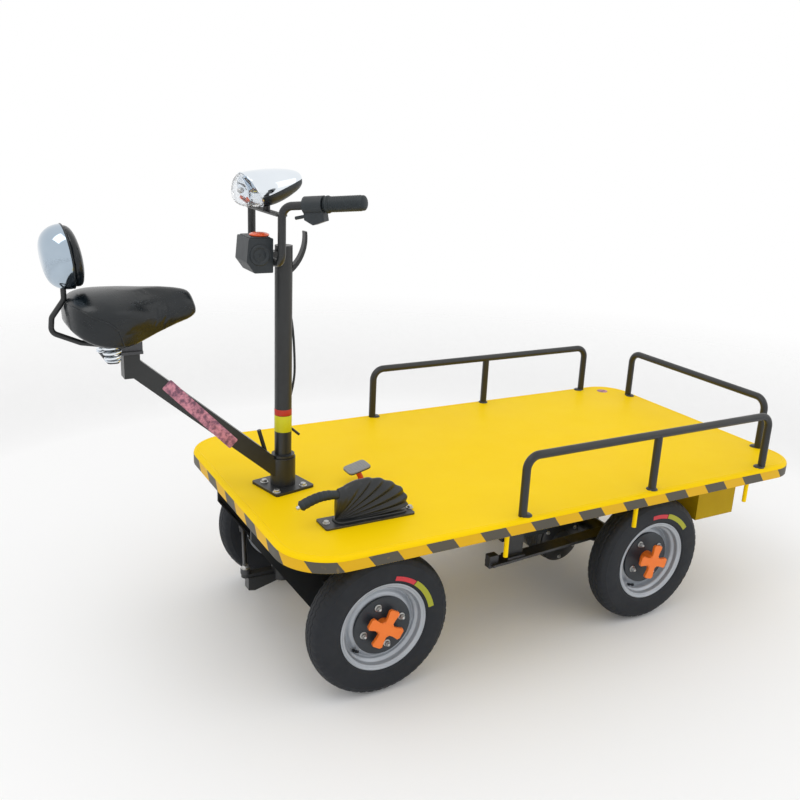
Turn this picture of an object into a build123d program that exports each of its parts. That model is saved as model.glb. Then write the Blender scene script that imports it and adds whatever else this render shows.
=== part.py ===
"""Electric platform cart with a swing-out saddle.

The frame has its origin on the floor under the middle of the whole cart.
The front of the cart faces -X, its near long side faces -Y and up is +Z.
All sizes are in millimetres and the cart stands as it is parked.
"""

import os
from math import cos, radians, tan

from build123d import *

os.makedirs("parts", exist_ok=True)

# Platform
DECK_LENGTH = 1875.0
DECK_WIDTH = 1000.0
DECK_TOP = 507.0
DECK_FRONT_X = -700.0
SHEET = 3.0
SKIRT = 42.0
FRONT_CORNER_R = 150.0
REAR_CORNER_R = 120.0
FOLD_R = 11.0

# Chassis under the platform
CHANNEL_SPAN = 600.0
CHANNEL_WIDTH = 40.0
CHANNEL_HEIGHT = 50.0
CHANNEL_WALL = 4.0
CHANNEL_END_GAP = 18.0
CROSS_WIDTH = 40.0
CROSS_SETBACKS = (60.0, 262.0, 700.0, 1294.0, 1800.0)

# Wheels
TYRE_R = 216.0
TYRE_WIDTH = 88.0
RIM_R = 136.0
RIM_SEAT_R = 124.0
RIM_WELL_R = 112.0
RIM_SHEET = 4.0
DISC_R = 88.0
DISC_THICK = 5.0
HUB_PLATE = 8.0
HUB_R = 30.0
HUB_BACK = 50.0
DRUM_R = 76.0
DRUM_WIDTH = 34.0
AXLE_R = 12.5
RUNNING_FIT = 0.05
SEAT_GAP = 0.2
FRONT_TRACK = 756.0
REAR_TRACK = 776.0
FRONT_DISC_FACE = 28.0
REAR_DISC_FACE = 12.0
FRONT_WHEEL_SETBACK = 301.0
WHEELBASE = 992.0
CROSS_CAP_SPAN = 116.0
CROSS_ARM_WIDTH = 27.0
CROSS_ARM_FLARE = 4.0
CROSS_CAP_THICK = 9.0
CROSS_CAP_FACE = 52.0
CAP_BARREL_R = 25.0

# Front axle and steering
KINGPIN_TRAIL = 40.0
KINGPIN_SPAN = 600.0
KINGPIN_R = 10.0
KNUCKLE_R = 24.0
KNUCKLE_HEIGHT = 84.0
BEAM_SIDE = 60.0
EAR_THICK = 13.0
EAR_GAP = 0.5
STEER_ARM = 120.0
STEER_ARM_THICK = 12.0
STEER_ARM_WIDTH = 26.0
ROD_R = 7.0
ROD_EYE_R = 15.0
ROD_EYE_THICK = 15.0
STUD_R = 6.0
PIN_FIT = 0.1
PITMAN_WEB = 34.0
PITMAN_DROP = 44.0
HANGER_THICK = 6.0
HANGER_SPAN = 300.0
HANGER_FOOT_Z = 158.0
HANGER_FRONT_GAP = 8.0
HANGER_FRONT_Z = 420.0
HANGER_FOOT_REACH = 65.0
HANGER_REAR_REACH = 80.0
HANGER_REAR_Z = 290.0
HANGER_HEAD_REACH = 200.0
HANGER_HEAD_Z = 392.0
HANGER_FLANGE = 28.0

# Steering column and its foot
COLUMN_SETBACK = 163.0
COLUMN_R = 25.0
COLUMN_WALL = 3.0
COLUMN_TOP = 1225.0
HEAD_TUBE_R = 30.0
HEAD_TUBE_BOTTOM = 300.0
FOOT_PLATE = 135.0
FOOT_PLATE_TURN = 13.0
FOOT_PLATE_THICK = 8.0
SWIVEL_WALL = 7.0
SWIVEL_HEIGHT = 86.0
SWIVEL_GAP = 0.5
THRUST_RING_R = 34.0
THRUST_RING_THICK = 8.0
CABLE_R = 3.5
CABLE_TOP_Z = 1020.0
CABLE_FOOT_Z = 786.0
CABLE_STANDOFF = 11.0
PEG_Z = 688.0
PEG_REACH = 51.0
PEG_FALL = 26.0

# Handlebar and what it carries
BAR_R = 11.0
BAR_FORWARD = 51.0
RISER_SPAN = 230.0
RISER_FOOT_Z = 1190.0
BAR_BEND_Z = 1342.0
BAR_BEND_R = 34.0
GRIP_END_BACK = 142.0
GRIP_END_SPAN = 600.0
GRIP_END_Z = 1369.0
GRIP_LENGTH = 106.0
GRIP_R = 21.0
GRIP_OVERHANG = 10.0
LEVER_CLAMP_R = 23.0
LEVER_CLAMP_LENGTH = 56.0
LEVER_DROP = 50.0
LEVER_WIDTH = 26.0
LEVER_R = 4.5
LIGHT_LENGTH = 196.0
LIGHT_WIDTH = 126.0
LIGHT_HEIGHT = 97.0
LIGHT_BROW_RUN = 17.64
LIGHT_BROW_R = 34.92
LIGHT_CROWN_RUN = 70.56
LIGHT_BACK_RUN = 121.52
LIGHT_BACK_R = 41.71
LIGHT_TAIL_R = 13.0
LIGHT_FRONT_X = -684.0
LIGHT_Z = 1382.0
LIGHT_PITCH = 9.0
LIGHT_STRAP_Z = 1316.0
LIGHT_STRAP_WIDTH = 30.0
LIGHT_STRAP_THICK = 5.0
LENS_LENGTH = 52.0
BOX_DEPTH = 74.0
BOX_WIDTH = 92.0
BOX_HEIGHT = 92.0
BOX_TOP_Z = 1256.0
BOX_OFFSET = -36.0
BUTTON_R = 27.0
BUTTON_HEIGHT = 12.0
BUTTON_OFFSET = -10.0
BUTTON_REAR_GAP = 1.0

# Guard rails
RAIL_R = 12.5
RAIL_HEIGHT = 182.0
RAIL_BEND_R = 40.0
SIDE_RAIL_INSET = 25.0
SIDE_RAIL_START = 705.0
SIDE_RAIL_LENGTH = 992.0
REAR_RAIL_INSET = 36.0
REAR_RAIL_LENGTH = 676.0

# Saddle and its arm
ARM_HEIGHT = 48.0
ARM_WIDTH = 40.0
ARM_FOOT_Z = 566.0
ARM_END_X = -967.0
ARM_END_TOP = 956.0
ARM_END_HEIGHT = 67.0
ARM_END_DEPTH = 42.0
SADDLE_NOSE_X = -790.0
SADDLE_RISE = 29.0
SADDLE_BASE = ARM_END_TOP + SADDLE_RISE
SADDLE_DEPTH = 143.0
SADDLE_TOP = SADDLE_BASE + SADDLE_DEPTH
SADDLE_TUCK = 0.86
BACKREST_WIDTH = 178.0
BACKREST_HEIGHT = 162.0
BACKREST_CHEEK_DROP = 34.02
BACKREST_PAD_THICK = 40.0
BACKREST_SHELL_DEPTH = 63.0
BACKREST_X = -1108.0
BACKREST_LIFT = 84.0
BACKREST_Z = SADDLE_TOP + BACKREST_LIFT
BACKREST_LEAN = 8.0
BACK_ROD_R = 7.0
BACK_ROD_LOOP_X = -1158.0
LOCK_ROD_R = 6.0
LOCK_ROD_HEAD = 126.0

# Saddle sections: run behind the nose, half width, rise of the base, fall of the shoulder and of the crown
SADDLE_SECTIONS = (
    (0.0, 24.0, 66.0, 62.0, 52.0),
    (20.0, 34.0, 56.0, 50.0, 13.0),
    (62.0, 40.0, 43.0, 44.0, 6.0),
    (140.0, 66.0, 15.0, 48.0, 4.0),
    (205.0, 106.0, 0.0, 52.0, 2.0),
    (275.0, 118.0, 14.0, 50.0, 0.0),
    (318.0, 94.0, 40.0, 52.0, 14.0),
    (336.0, 52.0, 62.0, 54.0, 40.0),
)

# Rear axle
REAR_TUBE_R = 30.0
REAR_TUBE_LENGTH = 640.0
DIFF_R = 95.0
DIFF_WIDTH = 120.0
MOTOR_R = 84.0
MOTOR_LENGTH = 210.0
MOTOR_AHEAD = 162.0
MOTOR_NEAR_Y = -150.0
MOTOR_Z = 206.0
GEAR_CASE_HEIGHT = 120.0
SPRING_WIDTH = 50.0
LEAF_THICK = 8.0
SPRING_FRONT_X = 30.0
SPRING_END_Z = 262.0
SPRING_RISE = 26.0
SPRING_SEAT_LENGTH = 120.0
SPRING_BLOCK_FRONT = 8.0
SPRING_BLOCK_REAR = 24.0
SPRING_BLOCK_WIDTH = 26.0
SPRING_BLOCK_DROP = 7.0
SPRING_BLOCK_RISE = 34.0
SPRING_REAR_GAP = 24.0
SPRING_HANGER_SETBACK = 785.0
SPRING_HANGER_LENGTH = 65.0
SPRING_HANGER_THICK = 12.0
SPRING_SADDLE_RISE = 20.0

# Battery and controller
BATTERY_TYRE_GAP = 19.0
BATTERY_LENGTH = 178.0
BATTERY_WIDTH = 760.0
BATTERY_BOTTOM = 298.0
CONTROLLER_SETBACK = 810.0
CONTROLLER_LENGTH = 180.0
CONTROLLER_WIDTH = 160.0
CONTROLLER_Y = -170.0
CONTROLLER_BOTTOM = 300.0

# Rope pegs under the skirt
PEG_SETBACKS = (645.0, 1130.0, 1620.0)
PEG_R = 7.0
PEG_BOTTOM = 398.0
PEG_BLOCK = 16.0

# Foot pedal and hand brake
BRAKE_X = -410.0
BRAKE_Y = -306.0
BRAKE_PLATE_LENGTH = 275.0
BRAKE_PLATE_WIDTH = 72.0
BRAKE_PLATE_THICK = 6.0
BOOT_FRONT = 100.0
BOOT_REAR = 122.0
BOOT_HEIGHT = 108.0
BOOT_NECK_HEIGHT = 96.12
BOOT_BACK_RUN = 78.08
BOOT_BACK_HEIGHT = 77.76
BOOT_WIDTH = 56.0
BOOT_NECK_WIDTH = 34.0
BRAKE_GRIP_R = 13.5
BRAKE_GRIP_TIP = 205.0
BRAKE_GRIP_RISE = 84.24
BRAKE_BUTTON_R = 8.0
PEDAL_X = -325.0
PEDAL_Y = -72.0
PEDAL_Z = 553.0
PEDAL_LENGTH = 74.0
PEDAL_WIDTH = 62.0
PEDAL_THICK = 10.0
PEDAL_TILT = 14.0

# Places worked out from the sizes above
DECK_REAR_X = DECK_FRONT_X + DECK_LENGTH
DECK_UNDER = DECK_TOP - SHEET
SKIRT_BOTTOM = DECK_TOP - SKIRT
FRONT_X = DECK_FRONT_X + FRONT_WHEEL_SETBACK
REAR_X = FRONT_X + WHEELBASE
COLUMN_X = DECK_FRONT_X + COLUMN_SETBACK
KINGPIN_X = FRONT_X - KINGPIN_TRAIL
PITMAN_Z = TYRE_R + 10.0
ROD_Z = PITMAN_Z + STEER_ARM_THICK + EAR_GAP
BATTERY_FRONT = REAR_X + TYRE_R + BATTERY_TYRE_GAP
BATTERY_REAR = BATTERY_FRONT + BATTERY_LENGTH
SPRING_REAR_X = BATTERY_REAR + SPRING_REAR_GAP
SPRING_TOP = SPRING_END_Z + SPRING_RISE
CHANNEL_LOW = DECK_UNDER - CHANNEL_HEIGHT


def box(x0, x1, y0, y1, z0, z1):
    """A box between two corners."""
    return Pos((x0 + x1) / 2, (y0 + y1) / 2, (z0 + z1) / 2) * Box(x1 - x0, y1 - y0, z1 - z0)


def post(x, y, z0, z1, r):
    """An upright round bar."""
    return Pos(x, y, (z0 + z1) / 2) * Cylinder(r, z1 - z0)


def bar(start, end, r):
    """A round bar between two points."""
    a, b = Vector(*start), Vector(*end)
    axis = Plane(origin=a, z_dir=b - a)
    return axis * Pos(0, 0, (b - a).length / 2) * Cylinder(r, (b - a).length)


def rounded_path(points, radius):
    """A wire through the points, with an arc of the given radius at each bend."""
    corners = [Vector(*p) for p in points]
    edges = []
    start = corners[0]
    for before, corner, after in zip(corners, corners[1:], corners[2:]):
        into = (corner - before).normalized()
        out = (after - corner).normalized()
        turn = radians(into.get_angle(out))
        reach = radius * tan(turn / 2)
        first = corner - into * reach
        last = corner + out * reach
        inward = (out - into).normalized()
        middle = corner + inward * (radius / cos(turn / 2) - radius)
        edges.append(Edge.make_line(start, first))
        edges.append(Edge.make_three_point_arc(first, middle, last))
        start = last
    edges.append(Edge.make_line(start, corners[-1]))
    return Wire(edges)


def tube_along(points, radius, bend, bore=0.0):
    """A round tube swept along a path with rounded bends."""
    path = rounded_path(points, bend)
    section = Plane(origin=path @ 0, z_dir=path % 0) * Circle(radius)
    if bore:
        section -= Plane(origin=path @ 0, z_dir=path % 0) * Circle(bore)
    return sweep(section, path=path)


def plate_outline(x0, x1, width, front_r, rear_r):
    """A face of the platform's plan shape, with its own corner radii front and rear."""
    half = width / 2
    face = Pos((x0 + x1) / 2, 0) * Rectangle(x1 - x0, width)
    front = [v for v in face.vertices() if v.X < (x0 + x1) / 2]
    face = fillet(front, front_r)
    rear = [v for v in face.vertices() if abs(v.X - x1) < 0.01 and abs(abs(v.Y) - half) < 0.01]
    return fillet(rear, rear_r)


def deck():
    """The platform: a sheet folded down all round, with the head tube's hole and six rope pegs under blocks."""
    outer = plate_outline(DECK_FRONT_X, DECK_REAR_X, DECK_WIDTH, FRONT_CORNER_R, REAR_CORNER_R)
    inner = plate_outline(
        DECK_FRONT_X + SHEET,
        DECK_REAR_X - SHEET,
        DECK_WIDTH - 2 * SHEET,
        FRONT_CORNER_R - SHEET,
        REAR_CORNER_R - SHEET,
    )
    shell = Pos(0, 0, SKIRT_BOTTOM) * extrude(outer, SKIRT)
    shell = fillet(shell.faces().sort_by(Axis.Z)[-1].edges(), FOLD_R)
    hollow = Pos(0, 0, SKIRT_BOTTOM) * extrude(inner, SKIRT - SHEET)
    hollow = fillet(hollow.faces().sort_by(Axis.Z)[-1].edges(), FOLD_R - SHEET)
    hole = post(COLUMN_X, 0, DECK_UNDER - 1, DECK_TOP + 1, HEAD_TUBE_R + SEAT_GAP)
    sheet = shell - hollow - hole
    for setback in PEG_SETBACKS:
        for side in (-1, 1):
            x = DECK_FRONT_X + setback
            wall_y = side * (DECK_WIDTH / 2 - SHEET)
            seat = Pos(x, wall_y - side * PEG_BLOCK / 2, (SKIRT_BOTTOM + DECK_UNDER) / 2)
            sheet += seat * Box(PEG_BLOCK, PEG_BLOCK, SKIRT - SHEET)
            sheet += post(x, wall_y - side * PEG_R, PEG_BOTTOM, SKIRT_BOTTOM, PEG_R)
    return sheet


def under_frame():
    """The welded frame: two long channels open inwards, square cross members and the spring hangers."""
    x0 = DECK_FRONT_X + CHANNEL_END_GAP
    x1 = DECK_REAR_X - CHANNEL_END_GAP
    low = CHANNEL_LOW
    wall = CHANNEL_WALL
    frame = Part()
    hanger_x = DECK_FRONT_X + SPRING_HANGER_SETBACK
    half_hanger = SPRING_HANGER_THICK / 2
    for side in (-1, 1):
        y = side * CHANNEL_SPAN / 2
        channel = box(x0, x1, y - CHANNEL_WIDTH / 2, y + CHANNEL_WIDTH / 2, low, DECK_UNDER)
        y0 = y - side * wall - CHANNEL_WIDTH / 2
        y1 = y - side * wall + CHANNEL_WIDTH / 2
        channel -= box(x0 - 1, x1 + 1, y0, y1, low + wall, DECK_UNDER - wall)
        frame += channel
        foot = SPRING_END_Z + SPRING_SADDLE_RISE
        hanger_end = hanger_x + SPRING_HANGER_LENGTH
        frame += box(hanger_x, hanger_end, y - half_hanger, y + half_hanger, foot, low)
        rear_x0 = SPRING_REAR_X - 10
        foot = SPRING_END_Z + SPRING_BLOCK_RISE
        frame += box(rear_x0, rear_x0 + 18, y - half_hanger, y + half_hanger, foot, low)
    reach = CHANNEL_SPAN / 2 + CHANNEL_WIDTH / 2 - wall
    for setback in CROSS_SETBACKS:
        x = DECK_FRONT_X + setback
        half = CROSS_WIDTH / 2
        frame += box(x - half, x + half, -reach, reach, low + wall, DECK_UNDER - wall)
    return frame


def side_rail(side):
    """A guard rail along one side: a bent tube with a post in its middle."""
    y = side * (DECK_WIDTH / 2 - SIDE_RAIL_INSET)
    x0 = DECK_FRONT_X + SIDE_RAIL_START
    x1 = x0 + SIDE_RAIL_LENGTH
    top = DECK_TOP + RAIL_HEIGHT
    path = [(x0, y, DECK_TOP), (x0, y, top), (x1, y, top), (x1, y, DECK_TOP)]
    hoop = tube_along(path, RAIL_R, RAIL_BEND_R)
    return hoop + post((x0 + x1) / 2, y, DECK_TOP, top, RAIL_R)


def rear_rail():
    """The guard rail across the rear end, a bent tube."""
    x = DECK_REAR_X - REAR_RAIL_INSET
    half = REAR_RAIL_LENGTH / 2
    top = DECK_TOP + RAIL_HEIGHT
    return tube_along(
        [(x, -half, DECK_TOP), (x, -half, top), (x, half, top), (x, half, DECK_TOP)], RAIL_R, RAIL_BEND_R
    )


def tyre():
    """The tyre about +Z, with its outer side at +Z: round shoulders, bulged walls and beads."""
    half = TYRE_WIDTH / 2
    bead = RIM_SEAT_R + SEAT_GAP
    shoulder = TYRE_R - 12.0
    bulge = (bead + shoulder) / 2 + 8
    with BuildPart() as part:
        with BuildSketch(Plane.XZ):
            with BuildLine():
                Line((bead, -half + 9), (bead, half - 9))
                Line((bead, half - 9), (bead + 13, half - 7.6))
                ThreePointArc((bead + 13, half - 7.6), (bulge, half), (shoulder, half - 12))
                ThreePointArc((shoulder, half - 12), (TYRE_R - 2.5, half - 22), (TYRE_R - 0.8, half - 30))
                ThreePointArc((TYRE_R - 0.8, half - 30), (TYRE_R, 0), (TYRE_R - 0.8, 30 - half))
                ThreePointArc((TYRE_R - 0.8, 30 - half), (TYRE_R - 2.5, 22 - half), (shoulder, 12 - half))
                ThreePointArc((shoulder, 12 - half), (bulge, -half), (bead + 13, 7.6 - half))
                Line((bead + 13, 7.6 - half), (bead, 9 - half))
            make_face()
        revolve(axis=Axis.Z)
    return part.part


def rim(disc_face):
    """The pressed rim about +Z: two flanges, bead seats, a well and a dished disc behind the hub plate."""
    lip = TYRE_WIDTH / 2 - 3
    seat = lip - 5
    well = 15.0
    s = RIM_SHEET
    front = disc_face - HUB_PLATE
    back = front - DISC_THICK
    root = min(back - 11, 2.0)
    outer = [
        (RIM_R, lip - s),
        (RIM_SEAT_R, seat),
        (RIM_SEAT_R, well + 7),
        (RIM_WELL_R, well),
        (RIM_WELL_R, -well),
        (RIM_SEAT_R, -well - 7),
        (RIM_SEAT_R, -seat),
        (RIM_R, s - lip),
    ]
    inner = [
        (RIM_R, -lip),
        (RIM_SEAT_R - s, -seat - s),
        (RIM_SEAT_R - s, -well - 8),
        (RIM_WELL_R - s, -well - 1),
        (RIM_WELL_R - s, root),
        (DISC_R + 2, back),
        (HUB_R, back),
        (HUB_R, front),
        (DISC_R + 2, front),
        (RIM_WELL_R - s, root + 7),
        (RIM_WELL_R - s, well + 1),
        (RIM_SEAT_R - s, well + 8),
        (RIM_SEAT_R - s, seat + s),
        (RIM_R, lip),
    ]
    with BuildPart() as part:
        with BuildSketch(Plane.XZ):
            with BuildLine():
                Polyline(*outer, *inner, close=True)
            make_face()
        revolve(axis=Axis.Z)
    return part.part


def hub(disc_face):
    """The wheel hub about +Z: a round face plate, a barrel with the bearing bore and a brake drum."""
    plate_back = disc_face - HUB_PLATE
    drum_front = plate_back - DISC_THICK - SEAT_GAP
    solid = post(0, 0, plate_back, disc_face, DISC_R)
    solid += post(0, 0, -HUB_BACK, plate_back, HUB_R - SEAT_GAP)
    solid += post(0, 0, drum_front - DRUM_WIDTH, drum_front, DRUM_R)
    return solid - post(0, 0, -HUB_BACK - 1, 8, AXLE_R + RUNNING_FIT)


def cross_cap(disc_face, turn):
    """The four-armed cap about +Z on a short barrel, each arm flared to its end and the cross turned."""
    reach = CROSS_CAP_SPAN / 2
    root = CROSS_ARM_WIDTH / 2
    end = root + CROSS_ARM_FLARE
    half_arm = [(0, root), (reach - 26, root), (reach - 6, end), (reach, end - 6)]
    outline = half_arm + [(x, -y) for x, y in reversed(half_arm)]
    arm = make_face(Polyline(*outline, close=True))
    shape = Sketch() + [Rot(0, 0, turn + 45 + 90 * k) * arm for k in range(4)]
    cross = Pos(0, 0, CROSS_CAP_FACE - CROSS_CAP_THICK) * extrude(shape, CROSS_CAP_THICK)
    return cross + post(0, 0, disc_face, CROSS_CAP_FACE - 1, CAP_BARREL_R)


def on_wheel(shape, x, side, track):
    """Puts a wheel piece made about +Z at an axle end, its outer side away from the cart."""
    return Pos(x, side * track / 2, TYRE_R) * Rot(-90 * side, 0, 0) * shape


def front_beam():
    """The front axle: a square tube with two flat ears at each end for the kingpins."""
    half = BEAM_SIDE / 2
    reach = KINGPIN_SPAN / 2 - 50
    solid = box(KINGPIN_X - half, KINGPIN_X + half, -reach, reach, TYRE_R - half, TYRE_R + half)
    ear_z = KNUCKLE_HEIGHT / 2 + EAR_GAP
    for side in (-1, 1):
        y = side * KINGPIN_SPAN / 2
        for z0 in (TYRE_R + ear_z, TYRE_R - ear_z - EAR_THICK):
            y0, y1 = sorted((side * (reach - 40), y))
            solid += box(KINGPIN_X - 22, KINGPIN_X + 22, y0, y1, z0, z0 + EAR_THICK)
            solid += post(KINGPIN_X, y, z0, z0 + EAR_THICK, 22)
        y0, y1 = sorted((side * (reach - 40), side * reach))
        low, high = TYRE_R - ear_z - EAR_THICK, TYRE_R + ear_z + EAR_THICK
        solid += box(KINGPIN_X - half, KINGPIN_X + half, y0, y1, low, high)
        solid -= post(KINGPIN_X, y, low - 1, high + 1, KINGPIN_R + RUNNING_FIT)
    return solid


def axle_hanger(side):
    """A tapered side plate that hangs the front axle; the far one is notched for the drag link."""
    y = side * HANGER_SPAN / 2
    top = CHANNEL_LOW + CHANNEL_WALL
    front_x = DECK_FRONT_X + HANGER_FRONT_GAP
    foot_x = KINGPIN_X - HANGER_FOOT_REACH
    rear_x = KINGPIN_X + HANGER_REAR_REACH
    head_x = KINGPIN_X + HANGER_HEAD_REACH
    across = Plane(origin=(0, y, 0), x_dir=(1, 0, 0), z_dir=(0, -1, 0))
    plate_points = [
        (front_x, top),
        (front_x, HANGER_FRONT_Z),
        (foot_x, HANGER_FOOT_Z),
        (rear_x, HANGER_FOOT_Z),
        (rear_x, HANGER_REAR_Z),
        (head_x, HANGER_HEAD_Z),
        (head_x, top),
    ]
    plate = extrude(across * make_face(Polyline(*plate_points, close=True)), HANGER_THICK / 2, both=True)
    strip_points = [
        (front_x, HANGER_FRONT_Z),
        (foot_x, HANGER_FOOT_Z),
        (foot_x + HANGER_THICK, HANGER_FOOT_Z),
        (front_x + HANGER_THICK, HANGER_FRONT_Z),
    ]
    strip = extrude(across * make_face(Polyline(*strip_points, close=True)), side * HANGER_FLANGE)
    half = BEAM_SIDE / 2 + SEAT_GAP
    plate -= box(KINGPIN_X - half, KINGPIN_X + half, y - 10, y + 10, TYRE_R - half, TYRE_R + half)
    hanger = plate + strip
    if side > 0:
        notch_end = KINGPIN_X - BEAM_SIDE / 2 - 68
        hanger -= box(front_x - 1, notch_end, y - 40, y + 10, ROD_Z - 13, ROD_Z + ROD_EYE_THICK + 13)
    return hanger


def steering_arm(x, y, z):
    """A flat arm from a kingpin to a stud that stands up through a rod eye."""
    half = STEER_ARM_WIDTH / 2
    x0, x1 = sorted((x, KINGPIN_X))
    arm = box(x0, x1, y - half, y + half, z, z + STEER_ARM_THICK)
    arm += post(x, y, z, z + STEER_ARM_THICK, half)
    return arm + post(x, y, z, z + STEER_ARM_THICK + ROD_EYE_THICK + 2 * EAR_GAP + 2, STUD_R)


def knuckle(side):
    """A steering knuckle: body, kingpin, wheel spindle and rear arm; the far one also has a front arm."""
    y = side * KINGPIN_SPAN / 2
    low = TYRE_R - KNUCKLE_HEIGHT / 2
    body = post(KINGPIN_X, y, low, low + KNUCKLE_HEIGHT, KNUCKLE_R)
    pin_reach = EAR_GAP + EAR_THICK + 4
    body += post(KINGPIN_X, y, low - pin_reach, low + KNUCKLE_HEIGHT + pin_reach, KINGPIN_R)
    hub_back = FRONT_TRACK / 2 - HUB_BACK - 1
    y0, y1 = sorted((y - side * 14, side * hub_back))
    body += box(KINGPIN_X, FRONT_X + 20, y0, y1, TYRE_R - 22, TYRE_R + 22)
    body += bar((FRONT_X, y, TYRE_R), (FRONT_X, side * (FRONT_TRACK / 2 + 6), TYRE_R), AXLE_R)
    body += steering_arm(KINGPIN_X + STEER_ARM, y, PITMAN_Z)
    if side > 0:
        body += steering_arm(KINGPIN_X - STEER_ARM, y, PITMAN_Z)
    return body


def eyed_rod(inner, outer):
    """A steering rod between two studs, with a round eye at each end."""
    middle = ROD_Z + ROD_EYE_THICK / 2
    rod = bar((*inner, middle), (*outer, middle), ROD_R)
    for x, y in (inner, outer):
        rod += post(x, y, ROD_Z, ROD_Z + ROD_EYE_THICK, ROD_EYE_R)
        rod -= post(x, y, ROD_Z - 1, ROD_Z + ROD_EYE_THICK + 1, STUD_R + PIN_FIT)
    return rod


def drag_link():
    """The link from the pitman arm's stud to the far knuckle's front stud."""
    return eyed_rod((COLUMN_X - STEER_ARM, 0.0), (KINGPIN_X - STEER_ARM, KINGPIN_SPAN / 2))


def tie_rod():
    """The tie rod between the knuckles' rear studs, behind the axle."""
    x = KINGPIN_X + STEER_ARM
    return eyed_rod((x, -KINGPIN_SPAN / 2), (x, KINGPIN_SPAN / 2))


def cable_strap():
    """The curved strap on the rear of the column top that guides the cable."""
    x = COLUMN_X + COLUMN_R
    z = COLUMN_TOP - 75
    with BuildPart() as part:
        with BuildSketch(Plane.XZ):
            with BuildLine():
                Line((x - 3, z), (x - 3, z + 16))
                ThreePointArc((x - 3, z + 16), (x + 26, z + 56), (x + 34, z + 112))
                Line((x + 34, z + 112), (x + 40, z + 112))
                ThreePointArc((x + 40, z + 112), (x + 34, z + 52), (x - 3, z))
            make_face()
        extrude(amount=11, both=True)
    return part.part


def column():
    """The column: tube, thrust ring, cable strap, peg and the deep pitman arm with its stud."""
    z = PITMAN_Z
    tube = post(COLUMN_X, 0, z, COLUMN_TOP, COLUMN_R)
    ring_z = DECK_TOP + FOOT_PLATE_THICK + SWIVEL_HEIGHT + 2 * SWIVEL_GAP + 0.5
    tube += post(COLUMN_X, 0, ring_z, ring_z + THRUST_RING_THICK, THRUST_RING_R)
    tube += post(COLUMN_X, 0, z - PITMAN_DROP / 2, z + 40, COLUMN_R + 9)
    eye_x = COLUMN_X - STEER_ARM
    half = STEER_ARM_WIDTH / 2
    top = z + STEER_ARM_THICK
    tube += box(eye_x, COLUMN_X, -half, half, z, top)
    tube += post(eye_x, 0, z, top, half)
    tube += post(eye_x, 0, z, top + ROD_EYE_THICK + 2 * EAR_GAP + 2, STUD_R)
    web_points = [
        (eye_x + 4, z),
        (eye_x + 4, z - PITMAN_DROP + 4),
        (eye_x + 24, z - PITMAN_DROP),
        (COLUMN_X - 15, z - PITMAN_DROP / 2),
        (COLUMN_X, z - PITMAN_DROP / 2),
        (COLUMN_X, z),
    ]
    across = Plane(origin=(0, 0, 0), x_dir=(1, 0, 0), z_dir=(0, -1, 0))
    tube += extrude(across * make_face(Polyline(*web_points, close=True)), PITMAN_WEB / 2, both=True)
    tube += bar((COLUMN_X + COLUMN_R - 3, 0, PEG_Z), (COLUMN_X + PEG_REACH, 0, PEG_Z - PEG_FALL), 4)
    tube += cable_strap()
    return tube - post(COLUMN_X, 0, z + STEER_ARM_THICK, COLUMN_TOP - 4, COLUMN_R - COLUMN_WALL)


def column_cable():
    """The thin cable held along the column's rear, from its upper outlet to its lower one."""
    wall = COLUMN_X + COLUMN_R
    off = wall + CABLE_STANDOFF
    route = [
        (wall - 2, 0, CABLE_TOP_Z),
        (off - 6, 0, CABLE_TOP_Z - 35),
        (off, 0, (CABLE_TOP_Z + CABLE_FOOT_Z) / 2 - 23),
        (off - 2, 0, CABLE_FOOT_Z + 44),
        (wall - 2, 0, CABLE_FOOT_Z),
    ]
    cable = tube_along(route, CABLE_R, 10)
    return cable - post(COLUMN_X, 0, CABLE_FOOT_Z - 20, CABLE_TOP_Z + 20, COLUMN_R + SEAT_GAP)


def column_foot():
    """The bolted foot plate with the head tube that guides the column."""
    z = DECK_TOP
    plate = box(
        COLUMN_X - FOOT_PLATE / 2,
        COLUMN_X + FOOT_PLATE / 2,
        -FOOT_PLATE / 2,
        FOOT_PLATE / 2,
        z,
        z + FOOT_PLATE_THICK,
    )
    plate = fillet(plate.edges().filter_by(Axis.Z), 8)
    plate = Pos(COLUMN_X, 0, 0) * Rot(0, 0, FOOT_PLATE_TURN) * Pos(-COLUMN_X, 0, 0) * plate
    top = z + FOOT_PLATE_THICK + SWIVEL_HEIGHT + 2 * SWIVEL_GAP
    solid = plate + post(COLUMN_X, 0, HEAD_TUBE_BOTTOM, top, HEAD_TUBE_R)
    return solid - post(COLUMN_X, 0, HEAD_TUBE_BOTTOM - 1, top + 1, COLUMN_R + RUNNING_FIT)


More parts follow.
